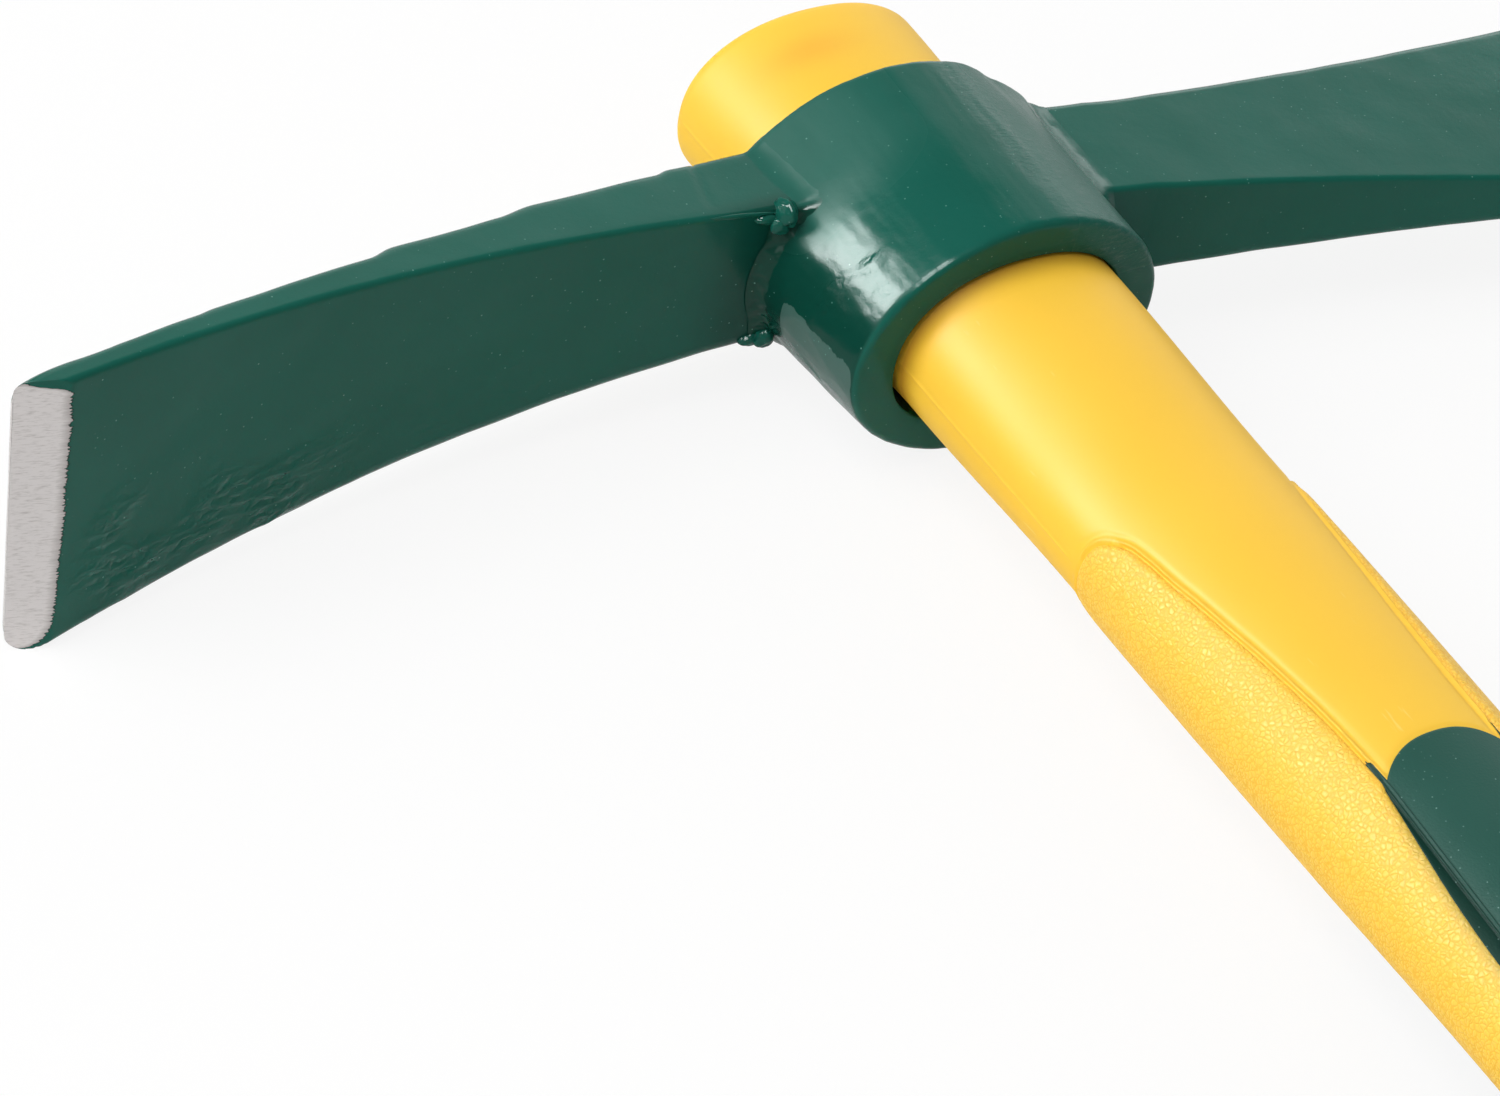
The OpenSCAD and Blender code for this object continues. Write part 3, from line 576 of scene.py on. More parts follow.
# Axe: flat blade in line with the handle, flaring and thinning to a bowed edge ground on both sides
axe = {"reach": 125.67, "rootX": 24.7, "rootHigh": 20.1, "edgeHigh": 42.8, "rootThick": 17.6, "edgeThick": 5.4,
       "flarePower": 1.5, "topY": 15.8, "hollow": 1.6, "bevelLong": 11.0, "bow": 3.0, "edgeRound": 1.8,
       "crispRound": 0.8, "rootRise": 0.9, "lip": 0.5, "blendU": 7.0, "sink": 0.7, "dentMm": 0.13}
axe["long"] = axe["reach"] - axe["rootX"]


def axeUpper(u):
    s = u / axe["long"]
    return axe["topY"] - 4 * axe["hollow"] * s * (1 - s) + axe["rootRise"] * hump(u, 2.0, 5.0)


def axeHigh(u):
    return mix(axe["rootHigh"], axe["edgeHigh"], (max(0.0, u) / axe["long"]) ** axe["flarePower"])


def axeThick(u):
    bevelU = axe["long"] - axe["bevelLong"]
    if u < bevelU:
        return mix(axe["rootThick"], axe["edgeThick"], max(0.0, u) / bevelU)
    return mix(axe["edgeThick"], axe["lip"], (u - bevelU) / axe["bevelLong"])


def axeSection(u, grow=0.0, across=14, up=64, corner=6):
    t, high = axeThick(u), axeHigh(u)
    r = axe["edgeRound"] + grow
    p = blockSection(t + 2 * grow, high + 2 * grow, [r, r, r, axe["crispRound"] + grow], across, up, corner)
    return np.stack([axeUpper(u) - high / 2 + p[:, 1], p[:, 0]], axis=1)


def makeAxe():
    length, bevelU = axe["long"], axe["long"] - axe["bevelLong"]
    stations = stretches(0, (axe["blendU"], 8), (bevelU, 119), (length, 25))
    rows = []
    for u in stations:
        yz = axeSection(u)
        v = (yz[:, 0] - axeUpper(u) + axeHigh(u) / 2) / (axeHigh(u) / 2)
        rows.append(bladeRow(axe, yz, u, axe["rootX"] + u - axe["bow"] * v * v * (u / length) ** 2, 1))
    grid = np.array(rows)
    along = np.broadcast_to(stations[:, None], grid.shape[:2])
    lift = axe["dentMm"] * (waver(grid, 15, 4.4) + 0.6 * waver(grid, 6, 8.3))
    lift *= ramp(0, 6, along) * ramp(length, bevelU - 3, along)
    points, faces = closeEdge(grid + gridNormals(grid) * lift[..., None])
    makePiece("forgedAxe", points, faces, greenEnamel, "axe_blade",
              {"bareMm": np.append(along - bevelU, np.full(grid.shape[1], axe["bevelLong"]))})


makeAxe()

# Welds: a lumpy bead inside the adze that turns into smooth fillets on its flanks, and a smooth one round the axe;
# full is how far the middle of a bead stands out from the corner, where 0 is a hollow fillet that meets both faces
# smoothly; drops are given by place and size
weld = {"beadLeg": 2.2, "flankLeg": 2.8, "axeLeg": 3.2, "beadFull": 0.34, "smoothFull": 0.06, "axeUpperFull": 0.5,
        "lumpMm": 0.34, "smoothLumpMm": 0.05, "axeLumpMm": 0.125, "axeUpperLumpMm": 0.2, "lumpSize": 3.2,
        "steps": 13, "straightX": -27.4, "dropRise": 0.074, "dropSpread": 0.097,
        "drops": (((-25.2, 3.9, 11.9), (1.5, 2.1, 2.3)), ((-26.1, 3.4, 10.3), (1.5, 1.0, 1.5)),
                  ((-27.6, 4.2, 11.2), (2.0, 0.7, 0.8)), ((-32.0, 4.7, 12.6), (5.5, 0.3, 0.34)),
                  ((-26.3, 4.4, -10.8), (1.9, 0.9, 1.1)), ((-24.8, 3.5, -10.3), (1.4, 1.2, 1.6)))}


def weldStrip(toe, root, blade, full, lump, shift):
    size = weld["lumpSize"]
    share = np.linspace(0, 1, weld["steps"])[None, :, None]
    toe, root, blade, full, lump = (v[:, None] for v in (toe, root, blade, full[:, None], lump[:, None]))
    pull = mix(root, (toe + blade) / 2, full)
    strip = (1 - share) ** 2 * toe + 2 * share * (1 - share) * pull + share ** 2 * blade
    out = (toe + blade) / 2 - root
    out = out / np.maximum(np.linalg.norm(out, axis=2, keepdims=True), 1e-6)
    bumps = (waver(strip, size, shift) + 0.8 * waver(strip, size / 2.4, shift + 4)
             + 0.3 * waver(strip, size / 5, shift + 7))
    return strip + out * np.sin(np.pi * share) ** 0.7 * lump * bumps[..., None]


def makeAdzeWeld():
    corner, across, up = 12, 120, 30
    first = corner + across - 1
    total = 4 * corner + 2 * (across - 1) + 2 * (up - 1)
    wrap = [k % total for k in range(first, first + 3 * corner + across - 1 + 2 * (up - 1) + 4)]
    far = weld["flankLeg"]
    rootYz, grownYz, farYz = (adzeSection(u, g, across, up, corner)[wrap]
                              for u, g in ((0, 0.0), (0, 1.0), (far, 0.0)))
    out = grownYz - rootYz
    flank = np.where(rootYz[:, 1] > 0, 1, ramp(3, 8, rootYz[:, 0] - adzeInner(0)))
    flank = ramp(0.35, 0.9, np.abs(out[:, 1])) * flank
    legs = out * (weld["beadLeg"], weld["flankLeg"])
    toeYz = rootYz + legs
    toeYz[:, 0] = np.minimum(toeYz[:, 0], eye["top"] - eye["rimRound"])
    leg = np.linalg.norm(legs, axis=1)
    # inside the adze the bead runs nearly straight across, so it is broadest at the corners
    blade = onEye(mix(rootYz, farYz, (leg / far)[:, None]), leg - 0.1, -1)
    straight = np.minimum(blade[:, 0], weld["straightX"])
    blade[:, 0] = mix(blade[:, 0], straight, 0.75 * ramp(0.5, 0.95, -out[:, 0]))
    strip = weldStrip(onEye(toeYz, -0.15, -1), onEye(rootYz, -0.15, -1), blade,
                      mix(weld["beadFull"], weld["smoothFull"], flank),
                      mix(weld["lumpMm"], weld["smoothLumpMm"], flank), 1.9)
    points, faces = strip.reshape(-1, 3), gridFaces(strip, 0, False, False)
    dry = np.repeat(flank, weld["steps"])
    thick = 1 - dry
    # lumpy drops where the bead was broken off at the two corners, and a run along the upper edge
    ball = bmesh.new()
    bmesh.ops.create_icosphere(ball, subdivisions=4, radius=1.0)
    for place, size in weld["drops"]:
        drop = np.array([v.co[:] for v in ball.verts])
        faces += [tuple(len(points) + v.index for v in f.verts) for f in ball.faces]
        rough = 1 + 0.18 * waver(drop, 0.9, 6.2 + size[0]) + 0.08 * waver(drop, 0.4, 2.5)
        drop = drop * rough[:, None] * size
        # a drop follows the edge of the blade, which rises and widens away from the eye
        drop -= drop[:, :1] * (0, weld["dropRise"], weld["dropSpread"] * np.sign(place[2]))
        points = np.concatenate([points, drop + place])
        thick = np.append(thick, np.full(len(drop), 0.2))
        dry = np.append(dry, np.zeros(len(drop)))
    ball.free()
    makePiece("adzeWeldBead", points, faces, pooledEnamel, "adze_weld",
              {"bareMm": painted, "pooled": 0.9 * thick, "dry": dry})


def makeAxeWeld():
    leg = weld["axeLeg"]
    rootYz, toeYz, bladeYz = (axeSection(u, g, 20, 30, 8) for u, g in ((0, 0.0), (0, leg), (leg, 0.0)))
    toeYz[:, 0] = np.minimum(toeYz[:, 0], eye["top"] - eye["rimRound"])
    upper = ramp(axe["topY"] - 5, axe["topY"] - 0.5, rootYz[:, 0])
    strip = weldStrip(onEye(toeYz, -0.2, 1), onEye(rootYz, -0.15, 1), onEye(bladeYz, leg - 0.1, 1),
                      mix(weld["smoothFull"], weld["axeUpperFull"], upper),
                      mix(weld["axeLumpMm"], weld["axeUpperLumpMm"], upper), 3.3)
    grid = strip.transpose(1, 0, 2)
    makePiece("axeWeldBead", grid, gridFaces(grid), greenEnamel, "axe_weld", {"bareMm": painted})


makeAdzeWeld()
makeAxeWeld()
print("head made")

# Handle: moulded in yellow, round in the eye and squarer in the hand; stations are height, half width, half depth
handle = {"stations": ((38.6, 19.8, 14.6), (17.8, 19.28, 14.33), (-17.8, 17.55, 13.45), (-61.0, 17.05, 11.7),
                       (-164.6, 15.8, 11.7), (-285.5, 15.4, 11.8), (-341.8, 20.0, 14.8)), "eyeStretch": 1,
          "power": 2.2, "top": 41.2, "knobRound": 2.6, "butt": -348.8, "buttRound": 7.0, "softDeep": 2.4,
          "coreHole": 7.05, "hangY": -329.8, "hangRadius": 4.5, "swingDeg": 0.57, "liftDeg": 0.34, "seamMm": 0.12,
          "gate": (-5.5, 31.8, 14.3), "gateReach": (50, 8, 30), "rimShadeHigh": 4.8, "underMm": 1.7}


def handleHalf(y):
    y = np.asarray(y, float)
    wide, deep = (np.full(y.shape, handle["stations"][0][k]) for k in (1, 2))
    for i, (a, b) in enumerate(zip(handle["stations"], handle["stations"][1:])):
        t = np.clip((a[0] - y) / (a[0] - b[0]), 0, 1)
        t = t if i == handle["eyeStretch"] else ease(t)
        wide = np.where(y <= a[0], mix(a[1], b[1], t), wide)
        deep = np.where(y <= a[0], mix(a[2], b[2], t), deep)
    return wide, deep


# The handle leans as one about the middle of the eye's upper rim
leanTurn = np.array(Matrix.Rotation(math.radians(handle["swingDeg"]), 3, "Z")
                    @ Matrix.Rotation(math.radians(-handle["liftDeg"]), 3, "X"))


def onHandle(points):
    pivot = np.array((0, eye["top"], 0))
    return (np.asarray(points, float) - pivot) @ leanTurn.T + pivot


def handlePoint(angle, y, lift):
    angle, y, lift = np.broadcast_arrays(*(np.asarray(v, float) for v in (angle, y, lift)))
    wide, deep = handleHalf(y)
    x, z = oval(wide + lift, deep + lift, angle, handle["power"])
    return np.stack([x, y, z], axis=-1)


# Columns round the handle, closer together at the mould seam and where the pads' borders run
quarter = np.append([0, 0.5, 1.0, 1.8, 3.0], stretches(4.5, (34, 15), (60, 61), (90, 19)))
halfTurn = np.append(quarter, 180 - quarter[-2:0:-1])
aroundDeg = np.append(halfTurn, 180 + halfTurn)
sideDeg = np.minimum(aroundDeg % 180, 180 - aroundDeg % 180)
aroundRad = np.radians(aroundDeg)

# Length round the skin from the narrow side, for a middling section
arcDeg = np.linspace(0, 90, 721)
arcX, arcZ = oval(17.0, 12.1, np.radians(arcDeg), handle["power"])
arcMm = np.append(0, np.cumsum(np.hypot(np.diff(arcX), np.diff(arcZ))))


def arcOf(deg):
    return np.sign(deg) * np.interp(np.abs(deg), arcDeg, arcMm)


def degOf(arc):
    return np.sign(arc) * np.interp(np.abs(arc), arcMm, arcDeg)


# Pads: leaf shapes let into the narrow sides, and the green grip that arches up between them; rings are
# distance in from the border and share of the rise
pad = {"top": -61.0, "waist": 55.0, "tail": 64.0, "halfDeg": 55.0, "rise": 0.6, "archRise": 4.5, "archPower": 2.2,
       "border": ((0, 0), (0.2, 0.004), (0.4, 0.016), (0.52, 0.044), (0.627, 0.087), (0.684, 0.153),
                  (0.727, 0.244), (0.782, 0.327), (0.836, 0.433), (0.891, 0.533), (0.933, 0.636), (0.969, 0.742),
                  (0.99, 0.85), (1, 1)),
       "tailBorder": ((1, 0), (0.975, 0.008), (0.918, 0.089), (0.856, 0.172), (0.785, 0.27), (0.733, 0.3625),
                      (0.7, 0.44), (0.655, 0.59), (0.545, 0.8), (0.36, 0.94), (0, 1)),
       "rings": ((0.0, -1.5), (0.0, -0.4), (0.03, -0.05), (0.1, 0.3), (0.22, 0.52), (0.42, 0.74), (0.75, 0.9),
                 (1.2, 0.98), (1.9, 1.0), (2.9, 1.0), (4.0, 1.0), (5.2, 1.0), (6.6, 1.0), (8.2, 1.0), (10.0, 1.0),
                 (12.0, 1.0), (14.5, 1.0), (17.5, 1.0), (99.0, 1.0))}
pad["waistY"] = pad["top"] - pad["waist"]
pad["endY"] = pad["waistY"] - pad["tail"]


# A smooth curve through a row of points
def smoothCurve(points, steps=24):
    p = np.array(points, float)
    p = np.concatenate([[2 * p[0] - p[1]], p, [2 * p[-1] - p[-2]]])
    t = np.linspace(0, 1, steps, endpoint=False)[:, None]
    parts = []
    for a, b, c, d in zip(p, p[1:], p[2:], p[3:]):
        square, cube = 2 * a - 5 * b + 4 * c - d, 3 * b - a - 3 * c + d
        parts.append(0.5 * (2 * b + (c - a) * t + square * t ** 2 + cube * t ** 3))
    return np.concatenate(parts + [p[-2:-1]])


def spread(points, gap):
    run = np.append(0, np.cumsum(np.linalg.norm(np.diff(points, axis=0), axis=1)))
    at = np.linspace(0, run[-1], max(2, int(round(run[-1] / gap)) + 1))
    return np.stack([np.interp(at, run, points[:, k]) for k in range(points.shape[1])], axis=1)


borderCurve = smoothCurve([(q * pad["halfDeg"], pad["top"] - s * pad["waist"]) for q, s in pad["border"]])
borderCurve = borderCurve[np.append(True, np.diff(borderCurve[:, 0]) > 0)]
tailCurve = smoothCurve([(q * pad["halfDeg"], pad["waistY"] - s * pad["tail"]) for q, s in pad["tailBorder"]])
tailCurve = tailCurve[np.append(True, np.diff(tailCurve[:, 1]) < 0)]
halfOutline = np.concatenate([borderCurve, tailCurve[1:]])
halfOutline = spread(np.stack([arcOf(halfOutline[:, 0]), halfOutline[:, 1]], axis=1), 0.2)
outlineTree = KDTree(len(halfOutline))
for index, (s, y) in enumerate(halfOutline):
    outlineTree.insert((s, y, 0), index)
outlineTree.balance()


def archY(q):
    return pad["waistY"] + pad["archRise"] * (1 - (np.abs(90 - q) / (90 - pad["halfDeg"])) ** pad["archPower"])


# Distance from the pad's outline over the skin, positive outside the pad and measured up to 9 mm
def padDistance(q, y, most=9.0):
    q, y = np.broadcast_arrays(np.asarray(q, float), np.asarray(y, float))
    far = np.full(q.shape, most)
    near = (y < pad["top"] + 5) & (y > pad["endY"] - 5) & (q < pad["halfDeg"] + 12)
    s = arcOf(q)
    for at in zip(*np.nonzero(near)):
        far[at] = min(most, outlineTree.find((s[at], y[at], 0))[2])
    upper = np.interp(-y, -borderCurve[:, 1], borderCurve[:, 0], left=-1)
    lower = np.interp(-y, -tailCurve[:, 1], tailCurve[:, 0], right=-1)
    inside = q < np.where(y > pad["waistY"], upper, lower)
    return np.where(inside, -far, far)


# The skin dives under the pads and the grip so that only their own edges show
def dive(away):
    return -handle["underMm"] * ramp(0.1, 1.1, -away)


# The grip starts a little higher beside the pads, in a sliver up to this many degrees round
sliver = {"deg": 57.6, "top": -111.7, "wide": 4}

# The raised border round a pad, with a groove inside it and a moat outside
rim = {"high": 0.34, "at": 0.66, "wide": 0.24, "groove": 0.3, "moat": 0.14}


def makeBody():
    top, r = handle["top"], handle["knobRound"]
    endRing = handlePoint(aroundRad, top, -r)
    bore = handle["coreHole"]
    hole = np.stack([bore * np.cos(aroundRad), np.full_like(aroundRad, top), bore * np.sin(aroundRad)], axis=1)
    rows = [mix(hole, endRing, t) for t in np.linspace(0, 1, 7)[:-1]]
    rows += [handlePoint(aroundRad, top - r + r * np.cos(a), r * np.sin(a) - r)
             for a in np.linspace(0, np.pi / 2, 9)]
    heights = stretches(top - r, (eye["low"], 45), (-57, 41), (-73, 59), (-110, 39), (-121, 31))[1:]
    y, q = np.meshgrid(heights, sideDeg, indexing="ij")
    away = padDistance(q, y)
    beside = np.where(q > pad["halfDeg"] - sliver["wide"], y - sliver["top"], 9.0)
    above = np.where(q > sliver["deg"], (y - archY(q)) / 1.25, beside)
    turned = ramp(3, 14, q)
    raised = rim["high"] * hump(away, rim["at"], rim["wide"]) * (turned * ramp(-115.5, -112.5, y))
    sunken = rim["groove"] * hump(away, 0.1, 0.24)
    lift = ramp(-0.05, 0.05, away) * (raised - sunken - rim["moat"] * hump(away, 1.35, 0.4) * turned)
    lift -= 0.18 * hump(above, 0.05, 0.3)
    lift += dive(away) + dive(above)
    # mould seam along both narrow sides
    lift += handle["seamMm"] * hump(arcOf(q), 0, 0.22) * ramp(pad["top"] + 1, pad["top"] + 4, y)
    rows += list(handlePoint(aroundRad[None, :], y, lift))
    rows += [handlePoint(aroundRad, h, -handle["softDeep"]) for h in np.linspace(-124, handle["butt"] + 4, 18)]
    grid = np.array(rows)
    points, faces = grid.reshape(-1, 3), gridFaces(grid)
    # the yellow lining of the hanging hole
    a = np.linspace(0, 2 * np.pi, 64, endpoint=False)
    deep = handleHalf(handle["hangY"])[1] - handle["softDeep"] + 0.2
    x, y = handle["hangRadius"] * np.cos(a), handle["hangY"] + handle["hangRadius"] * np.sin(a)
    lining = np.array([np.stack([x, y, np.full_like(a, z)], axis=1) for z in np.linspace(-deep, deep, 7)])
    faces += gridFaces(lining, len(points))
    points = np.concatenate([points, lining.reshape(-1, 3)])
    # painted shade: the handle darkens in the corner under the eye, most on the adze's side
    below = eye["low"] - points[:, 1]
    soil = mix(0.9, 0.6, ramp(-10, 6, points[:, 0])) * ramp(-1.5, 0, below)
    soil *= np.clip(1 - below / handle["rimShadeHigh"], 0, 1) ** 1.6
    makePiece("mouldedBody", onHandle(points), faces, yellowPlastic, "handle_body",
              {"smear": 0.6 * spot(points, handle["gate"], handle["gateReach"]), "soil": soil})


makeBody()


def makePad(name, node, turnDeg):
    half = spread(halfOutline, 0.7)
    outline = np.concatenate([half, half[-2:0:-1] * (-1, 1)])
    # each point of the border runs in to the middle line of the pad
    middleY = np.clip(outline[:, 1], pad["endY"] + 24, pad["top"] - 9)
    centre = np.stack([np.zeros(len(outline)), middleY], axis=1)
    run = np.linalg.norm(centre - outline, axis=1)
    lower = ramp(-113, -126, outline[:, 1])
    rise = pad["rise"] * mix(1.0, 0.4, lower)
    rings, thin = [], []
    for depth, high in pad["rings"]:
        flat = mix(outline, centre, np.minimum(1, depth / run)[:, None])
        lift = high * mix(rise, pad["rise"], ramp(0, 7, depth)) if high > 0 else high
        rings.append(handlePoint(np.radians(turnDeg + degOf(flat[:, 0])), flat[:, 1], lift))
        thin.append(0.6 * lower * ramp(2.2, 0.0, depth))
    grid = np.array(rings)
    makePiece(name, onHandle(grid), gridFaces(grid), yellowRubber, node, {"thin": thin})


makePad("adzeSideGrain", "adze_side_pad", 180.0)
makePad("axeSideGrain", "axe_side_pad", 0.0)

# Green grip: follows the arch between the pads, dives under them, closes over the butt. Lip is drop and lift of
# the rows at its upper border; hang is extra radius, sink and share of the rings into the hanging hole; the bead
# beside each pad runs by distance down the handle and degrees round it, and its shape is across, lift and painted
# shade
grip = {"lip": ((0.0, -1.5), (0.0, -0.3), (0.04, -0.12), (0.16, -0.02), (0.4, 0.02), (0.8, 0.0), (1.4, 0.0),
                (2.2, 0.0), (3.2, 0.0), (4.5, 0.0)),
        "meet": -182.0, "flareY": -318, "fadeY": (-205, -150), "hangClear": 8.5, "hangClearX": 8.6,
        "hang": ((1.5, 0.0, 0.35), (1.5, 0.0, 0.7), (1.5, 0.0, 1), (1.0, 0.07, 1), (0.5, 0.3, 1), (0.15, 0.75, 1),
                 (0.0, 1.3, 1), (0.0, 2.6, 1)),
        "beadLine": ((107.6, 111.2, 117.2, 140.0, 205.0), (57.2, 56.9, 55.7, 50.3, 35.0)),
        "bead": ((-0.55, -1.2, 0.9), (-0.48, 0.0, 0.9), (-0.4, 0.22, 0.9), (-0.29, 0.3, 0.9), (-0.18, 0.22, 0.9),
                 (-0.08, 0.1, 0.6), (0.08, 0.1, 0.5), (0.18, 0.22, 0.25), (0.29, 0.3, 0.25), (0.4, 0.2, 0.25),
                 (0.5, 0.0, 0.25), (0.56, -0.4, 0.25))}


def makeGrip():
    q = sideDeg
    lowerBorder = np.interp(q, tailCurve[::-1, 0], tailCurve[::-1, 1])
    hidden = np.minimum(lowerBorder + 8, sliver["top"])
    start = np.where(q > pad["halfDeg"] - sliver["wide"], sliver["top"], hidden)
    start = np.where(q > sliver["deg"], archY(q), start)
    r = handle["buttRound"]
    flare = handle["butt"] + r
    drops, lips = np.array(grip["lip"]).T
    rows = [start - drop for drop in drops]
    rows += [mix(rows[-1], grip["meet"], t) for t in np.linspace(0, 1, 40)[1:]]
    rows += [np.full_like(q, h) for h in stretches(grip["meet"], (grip["flareY"], 99), (flare, 24))[1:]]
    y = np.array(rows)
    lift = np.zeros_like(y)
    lift[:len(lips)] = lips[:, None]
    away = padDistance(q, y)
    lift += dive(away)
    # the groove is deepest at the bead's foot and comes up to the pad's edge
    left = arcOf(np.interp(-y, *grip["beadLine"])) - arcOf(q)
    slope = np.maximum(away, 0) / (np.maximum(away, 0) + np.maximum(left, 0.3))
    fade = ramp(*grip["fadeY"], y)
    lift -= 1.2 * ramp(0.3, 0.6, left) * (ramp(-110, -113, y) * fade) * slope
    # painted shade in the groove between the pad and the bead
    sunk = ramp(-0.7, -0.3, left) * fade
    rows = list(handlePoint(aroundRad[None, :], y, lift))
    rows += [handlePoint(aroundRad, flare - r * np.sin(a), r * np.cos(a) - r)
             for a in np.linspace(0, np.pi / 2, 12)[1:]]
    end = rows[-1]
    rows += [mix(end, end.mean(axis=0), t) for t in (0.15, 0.32, 0.5, 0.7, 0.88, 0.999)]
    grid = np.array(rows)
    n = grid.shape[1]
    # clear a block of faces round the hanging hole on both broad faces, then fill it with rings
    hangY = handle["hangY"]
    rowY = grid[:, :, 1].mean(axis=1)
    i0, i1 = (int(np.argmin(np.abs(rowY - hangY - way * grip["hangClear"]))) for way in (1, -1))
    blocks = []
    for face in (90, 270):
        column = int(np.argmin(np.abs(aroundDeg - face)))
        inBlock = (np.abs(aroundDeg - face) < 90) & (np.abs(grid[i0, :, 0]) < grip["hangClearX"])
        width = int(np.sum(inBlock)) // 2
        blocks.append((column - width, column + width))
    faces = [face for k, face in enumerate(gridFaces(grid))
             if not (i0 <= k // n < i1 and any(a <= k % n < b for a, b in blocks))]
    points = [grid.reshape(-1, 3)]
    total = len(points[0])
    for sign, (a, b) in zip((1, -1), blocks):
        loop = [i0 * n + j for j in range(a, b)] + [i * n + b for i in range(i0, i1)]
        loop += [i1 * n + j for j in range(b, a, -1)] + [i * n + a for i in range(i1, i0, -1)]
        local = points[0][loop][:, :2] - (0, hangY)
        way = np.arctan2(local[:, 1], local[:, 0])
        circle = np.stack([np.cos(way), np.sin(way)], axis=1)
        m = len(loop)
        for extra, sink, share in grip["hang"]:
            xy = mix(local, circle * (handle["hangRadius"] + extra), share)
            wide, deep = handleHalf(xy[:, 1] + hangY)
            z = deep * np.maximum(0, 1 - np.abs(xy[:, 0] / wide) ** handle["power"]) ** (1 / handle["power"])
            points.append(np.stack([xy[:, 0], xy[:, 1] + hangY, sign * (z - sink)], axis=1))
            here = list(range(total, total + m))
            faces += [(loop[k], loop[(k + 1) % m], here[(k + 1) % m], here[k]) for k in range(m)]
            loop = here
            total += m
    # the raised rims that carry on from the pads' borders, as slim beads with two edges
    y = stretches(-111.0, (-118, 23), (-205, 87))
    q = np.interp(-y, *grip["beadLine"])
    size = ramp(-110.9, -118, y) * ramp(-207, -172, y)
    plain = np.zeros(total - sunk.size)
    for base, sign in ((180, 1), (180, -1), (0, 1), (0, -1)):
        strip = []
        for across, high, dark in grip["bead"]:
            turn = np.radians(base + sign * degOf(arcOf(q) + across * mix(0.6, 1.0, size)))
            strip.append(handlePoint(turn, y, high * mix(0.15, 1.0, size) - 0.2 * (1 - size)))
        strip = np.array(strip)
        faces += gridFaces(strip, total, False, False)
        points.append(strip.reshape(-1, 3))
        total += len(points[-1])
    # painted shade on the beads, darkest on their side by the pad
    beadShade = np.tile(np.repeat([dark for across, high, dark in grip["bead"]], len(y)), 4)
    makePiece("softGrip", onHandle(np.concatenate(points)), faces, greenRubber, "grip_sleeve",
              {"sunk": np.concatenate([sunk.ravel(), plain, beadShade])})


makeGrip()

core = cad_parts["fibre_core"]
core.data.materials.clear()
core.data.materials.append(glassFibre)
print("handle made")

# Floor: white card that keeps the tool's soft shadow; most of its white is its own, for the eye and
# less for reflections
floorCard = {"white": "#f0f0ef", "glow": "#ffffff", "fleckMm": 60, "half": 3.0, "ownLight": 0.88, "reflected": 0.5}


def makeFloor():
    material, add, place = newMaterial("whiteCard")
    fleck = add("TexNoise", {"Vector": place, "sizeMm": floorCard["fleckMm"], "Detail": 2.0})
    tone = add("MapRange", {0: fleck, 3: 0.99, 4: 1.0})
    shade = add("Mix", {0: 1.0, 6: floorCard["white"], 7: tone}, blend_type="MULTIPLY")
    lit = add("BsdfDiffuse", {"Color": shade})
    glow = add("Emission", {"Color": floorCard["glow"], "Strength": 1.0})
    path = add("LightPath").outputs
    seen = add("Math", {0: path["Is Camera Ray"], 1: floorCard["ownLight"]}, "MULTIPLY")
    mirrored = add("Math", {0: path["Is Glossy Ray"], 1: path["Is Transmission Ray"]}, "MAXIMUM")
    part = add("Math", {0: mirrored, 1: floorCard["reflected"]}, "MULTIPLY")
    share = add("Math", {0: seen, 1: part}, "MAXIMUM")
    add("OutputMaterial", {"Surface": add("MixShader", {0: share, 1: lit, 2: glow})})
    h = floorCard["half"]
    mesh = bpy.data.meshes.new("floorCard")
    mesh.from_pydata([(-h, -h, 0), (h, -h, 0), (h, h, 0), (-h, h, 0)], [], [(0, 1, 2, 3)])
    mesh.materials.append(material)
    floor = bpy.data.objects.new("floorCard", mesh)
    scene.collection.objects.link(floor)


makeFloor()

# Studio light: a soft box on the left, a broad one behind to the right, a low one on the left, and cards that
# show only as highlights: one along the eye and the handle, one on the near rim, one behind; fade is the share
# of each border that dims
lamps = {
    "leftBox": {"way": (-0.60, 0.08, 0.80), "far": 1.3, "along": (0, 1, 0), "size": (0.9, 0.9), "watts": 13.0},
    "broadBox": {"way": (0.70, 0.60, 0.42), "far": 1.6, "along": (0.65, -0.76, 0), "size": (2.2, 1.4),
                 "watts": 10.8},
    "lowBox": {"way": (-0.93, 0.0, 0.30), "far": 1.3, "along": (0, 1, 0), "size": (0.9, 0.5), "watts": 2.5},
    "backCard": {"way": (0.78, 0.58, 0.20), "far": 1.6, "along": (0.60, -0.80, 0), "size": (1.6, 0.8),
                 "watts": 6.6, "fade": (0.35, 0.35, 0.45, 0.5)},
    "strip": {"way": (-0.707, 0.424, 0.565), "far": 1.25, "along": (0.57, 0.05, 0.82), "size": (0.8, 0.4),
              "watts": 66.0, "fade": (0.04, 0.66, 0.15, 0.15)},
    "rimCard": {"way": (-0.42, -0.26, 0.87), "far": 1.2, "along": (0.92, 0.0, 0.40), "size": (0.5, 1.3),
                "watts": 66.0, "fade": (0.2, 0.3, 0.2, 0.2)}}
lampAim = (0.008, 0.154, 0.021)
room = {"white": "#ffffff", "level": 0.36}


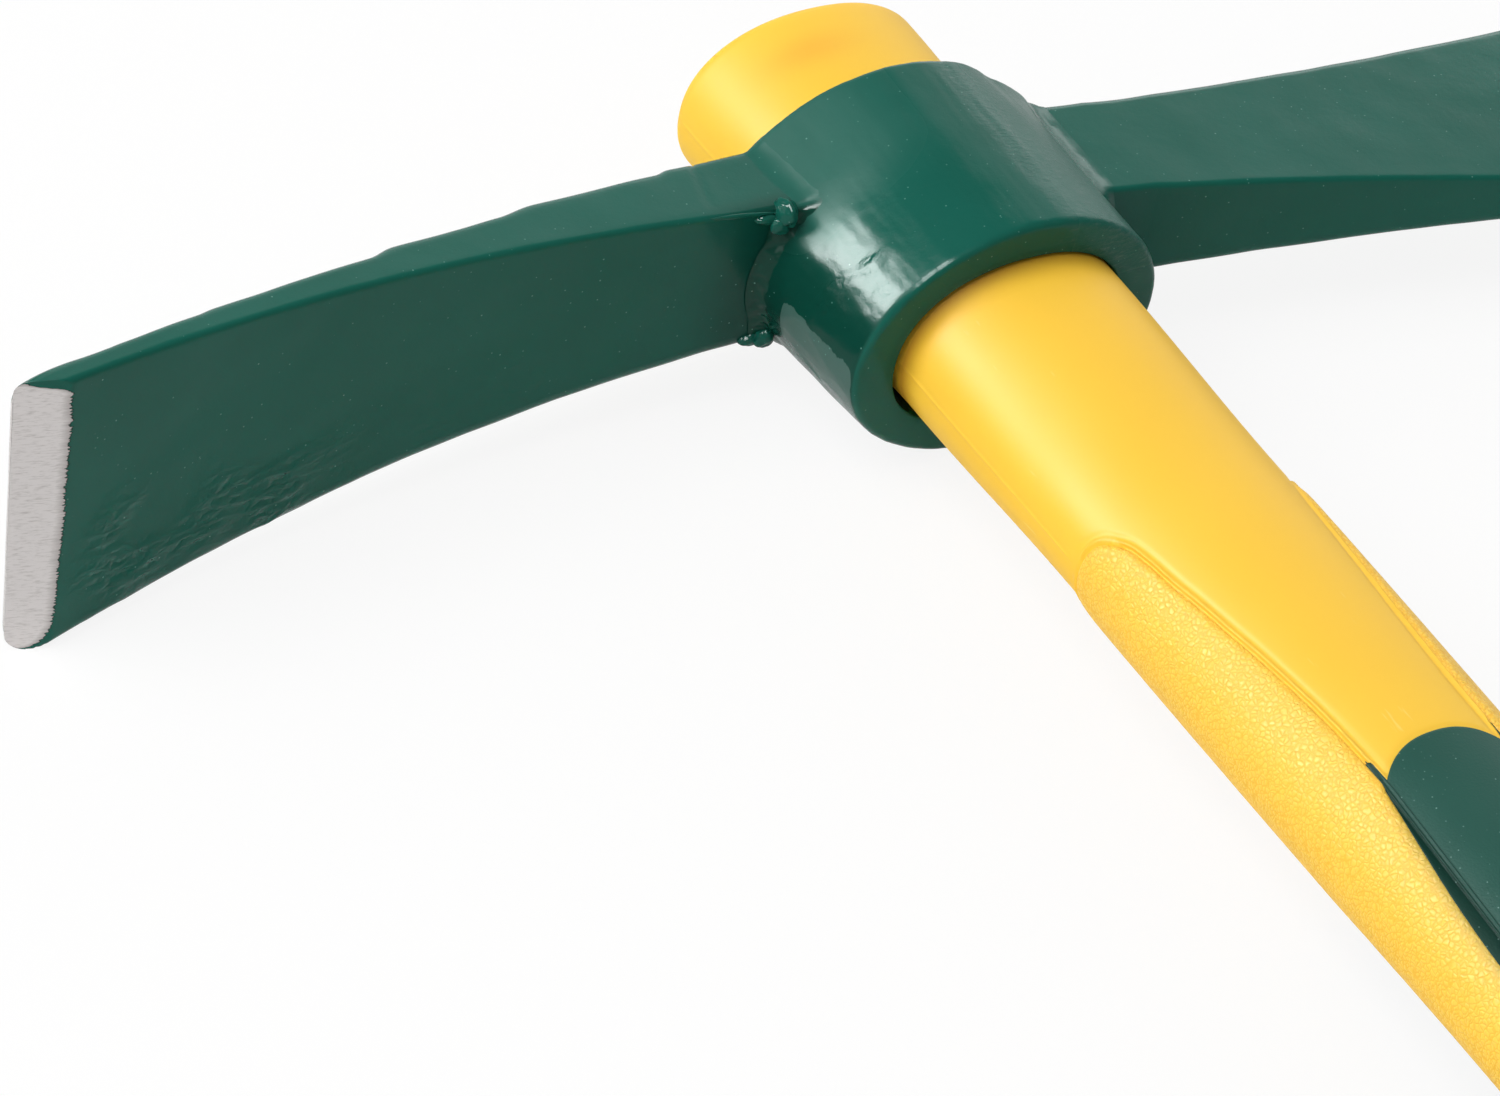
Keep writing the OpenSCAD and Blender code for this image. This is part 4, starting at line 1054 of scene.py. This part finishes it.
def makeLights():
    for name, lamp in lamps.items():
        light = bpy.data.lights.new(name, "AREA")
        light.shape = "RECTANGLE"
        light.size, light.size_y = lamp["size"]
        light.energy = lamp["watts"]
        if "fade" in lamp:
            light.use_nodes = True
            light.node_tree.nodes.clear()
            add = partial(addNode, light.node_tree)
            across = add("SeparateXYZ", {0: add("NewGeometry").outputs["Parametric"]}).outputs
            glow = 1.0
            for k, share in enumerate(lamp["fade"]):
                dark, full = (0.0, share) if k % 2 == 0 else (1.0, 1.0 - share)
                border = add("MapRange", {0: across[k // 2], 1: dark, 2: full}, "SMOOTHSTEP")
                glow = add("Math", {0: border, 1: glow}, "MULTIPLY")
            add("OutputLight", {"Surface": add("Emission", {"Strength": glow})})
        box = bpy.data.objects.new(name, light)
        away = Vector(lamp["way"]).normalized()
        upward = away.cross(Vector(lamp["along"])).normalized()
        turn = Matrix((upward.cross(away), upward, away)).transposed()
        box.matrix_world = Matrix.Translation(Vector(lampAim) + away * lamp["far"]) @ turn.to_4x4()
        box.visible_diffuse = "fade" not in lamp
        scene.collection.objects.link(box)
    world = bpy.data.worlds.new("room")
    world.use_nodes = True
    world.node_tree.nodes.clear()
    add = partial(addNode, world.node_tree)
    add("OutputWorld", {"Surface": add("Background", {"Color": room["white"], "Strength": room["level"]})})
    scene.world = world


makeLights()

# Camera: the photograph's place and lens, worked out from the outline of the head and the handle
view = {"place": (-352.490, -414.007, 434.032), "right": (0.85374457, -0.49554865, 0.15984914),
        "up": (0.24132507, 0.64860882, 0.72185096), "back": (-0.46139183, -0.57770073, 0.67333457),
        "lensMm": 120.0, "sensorMm": 36, "clip": (0.02, 20)}


def makeCamera():
    data = bpy.data.cameras.new("photoCamera")
    data.lens = view["lensMm"]
    data.sensor_width = view["sensorMm"]
    data.sensor_fit = "HORIZONTAL"
    data.clip_start, data.clip_end = view["clip"]
    camera = bpy.data.objects.new("photoCamera", data)
    turn = layMatrix.to_3x3() @ Matrix((view["right"], view["up"], view["back"])).transposed()
    camera.matrix_world = Matrix.Translation(toFrame([view["place"]])[0].tolist()) @ turn.to_4x4()
    scene.collection.objects.link(camera)
    scene.camera = camera


makeCamera()
print("stage made")
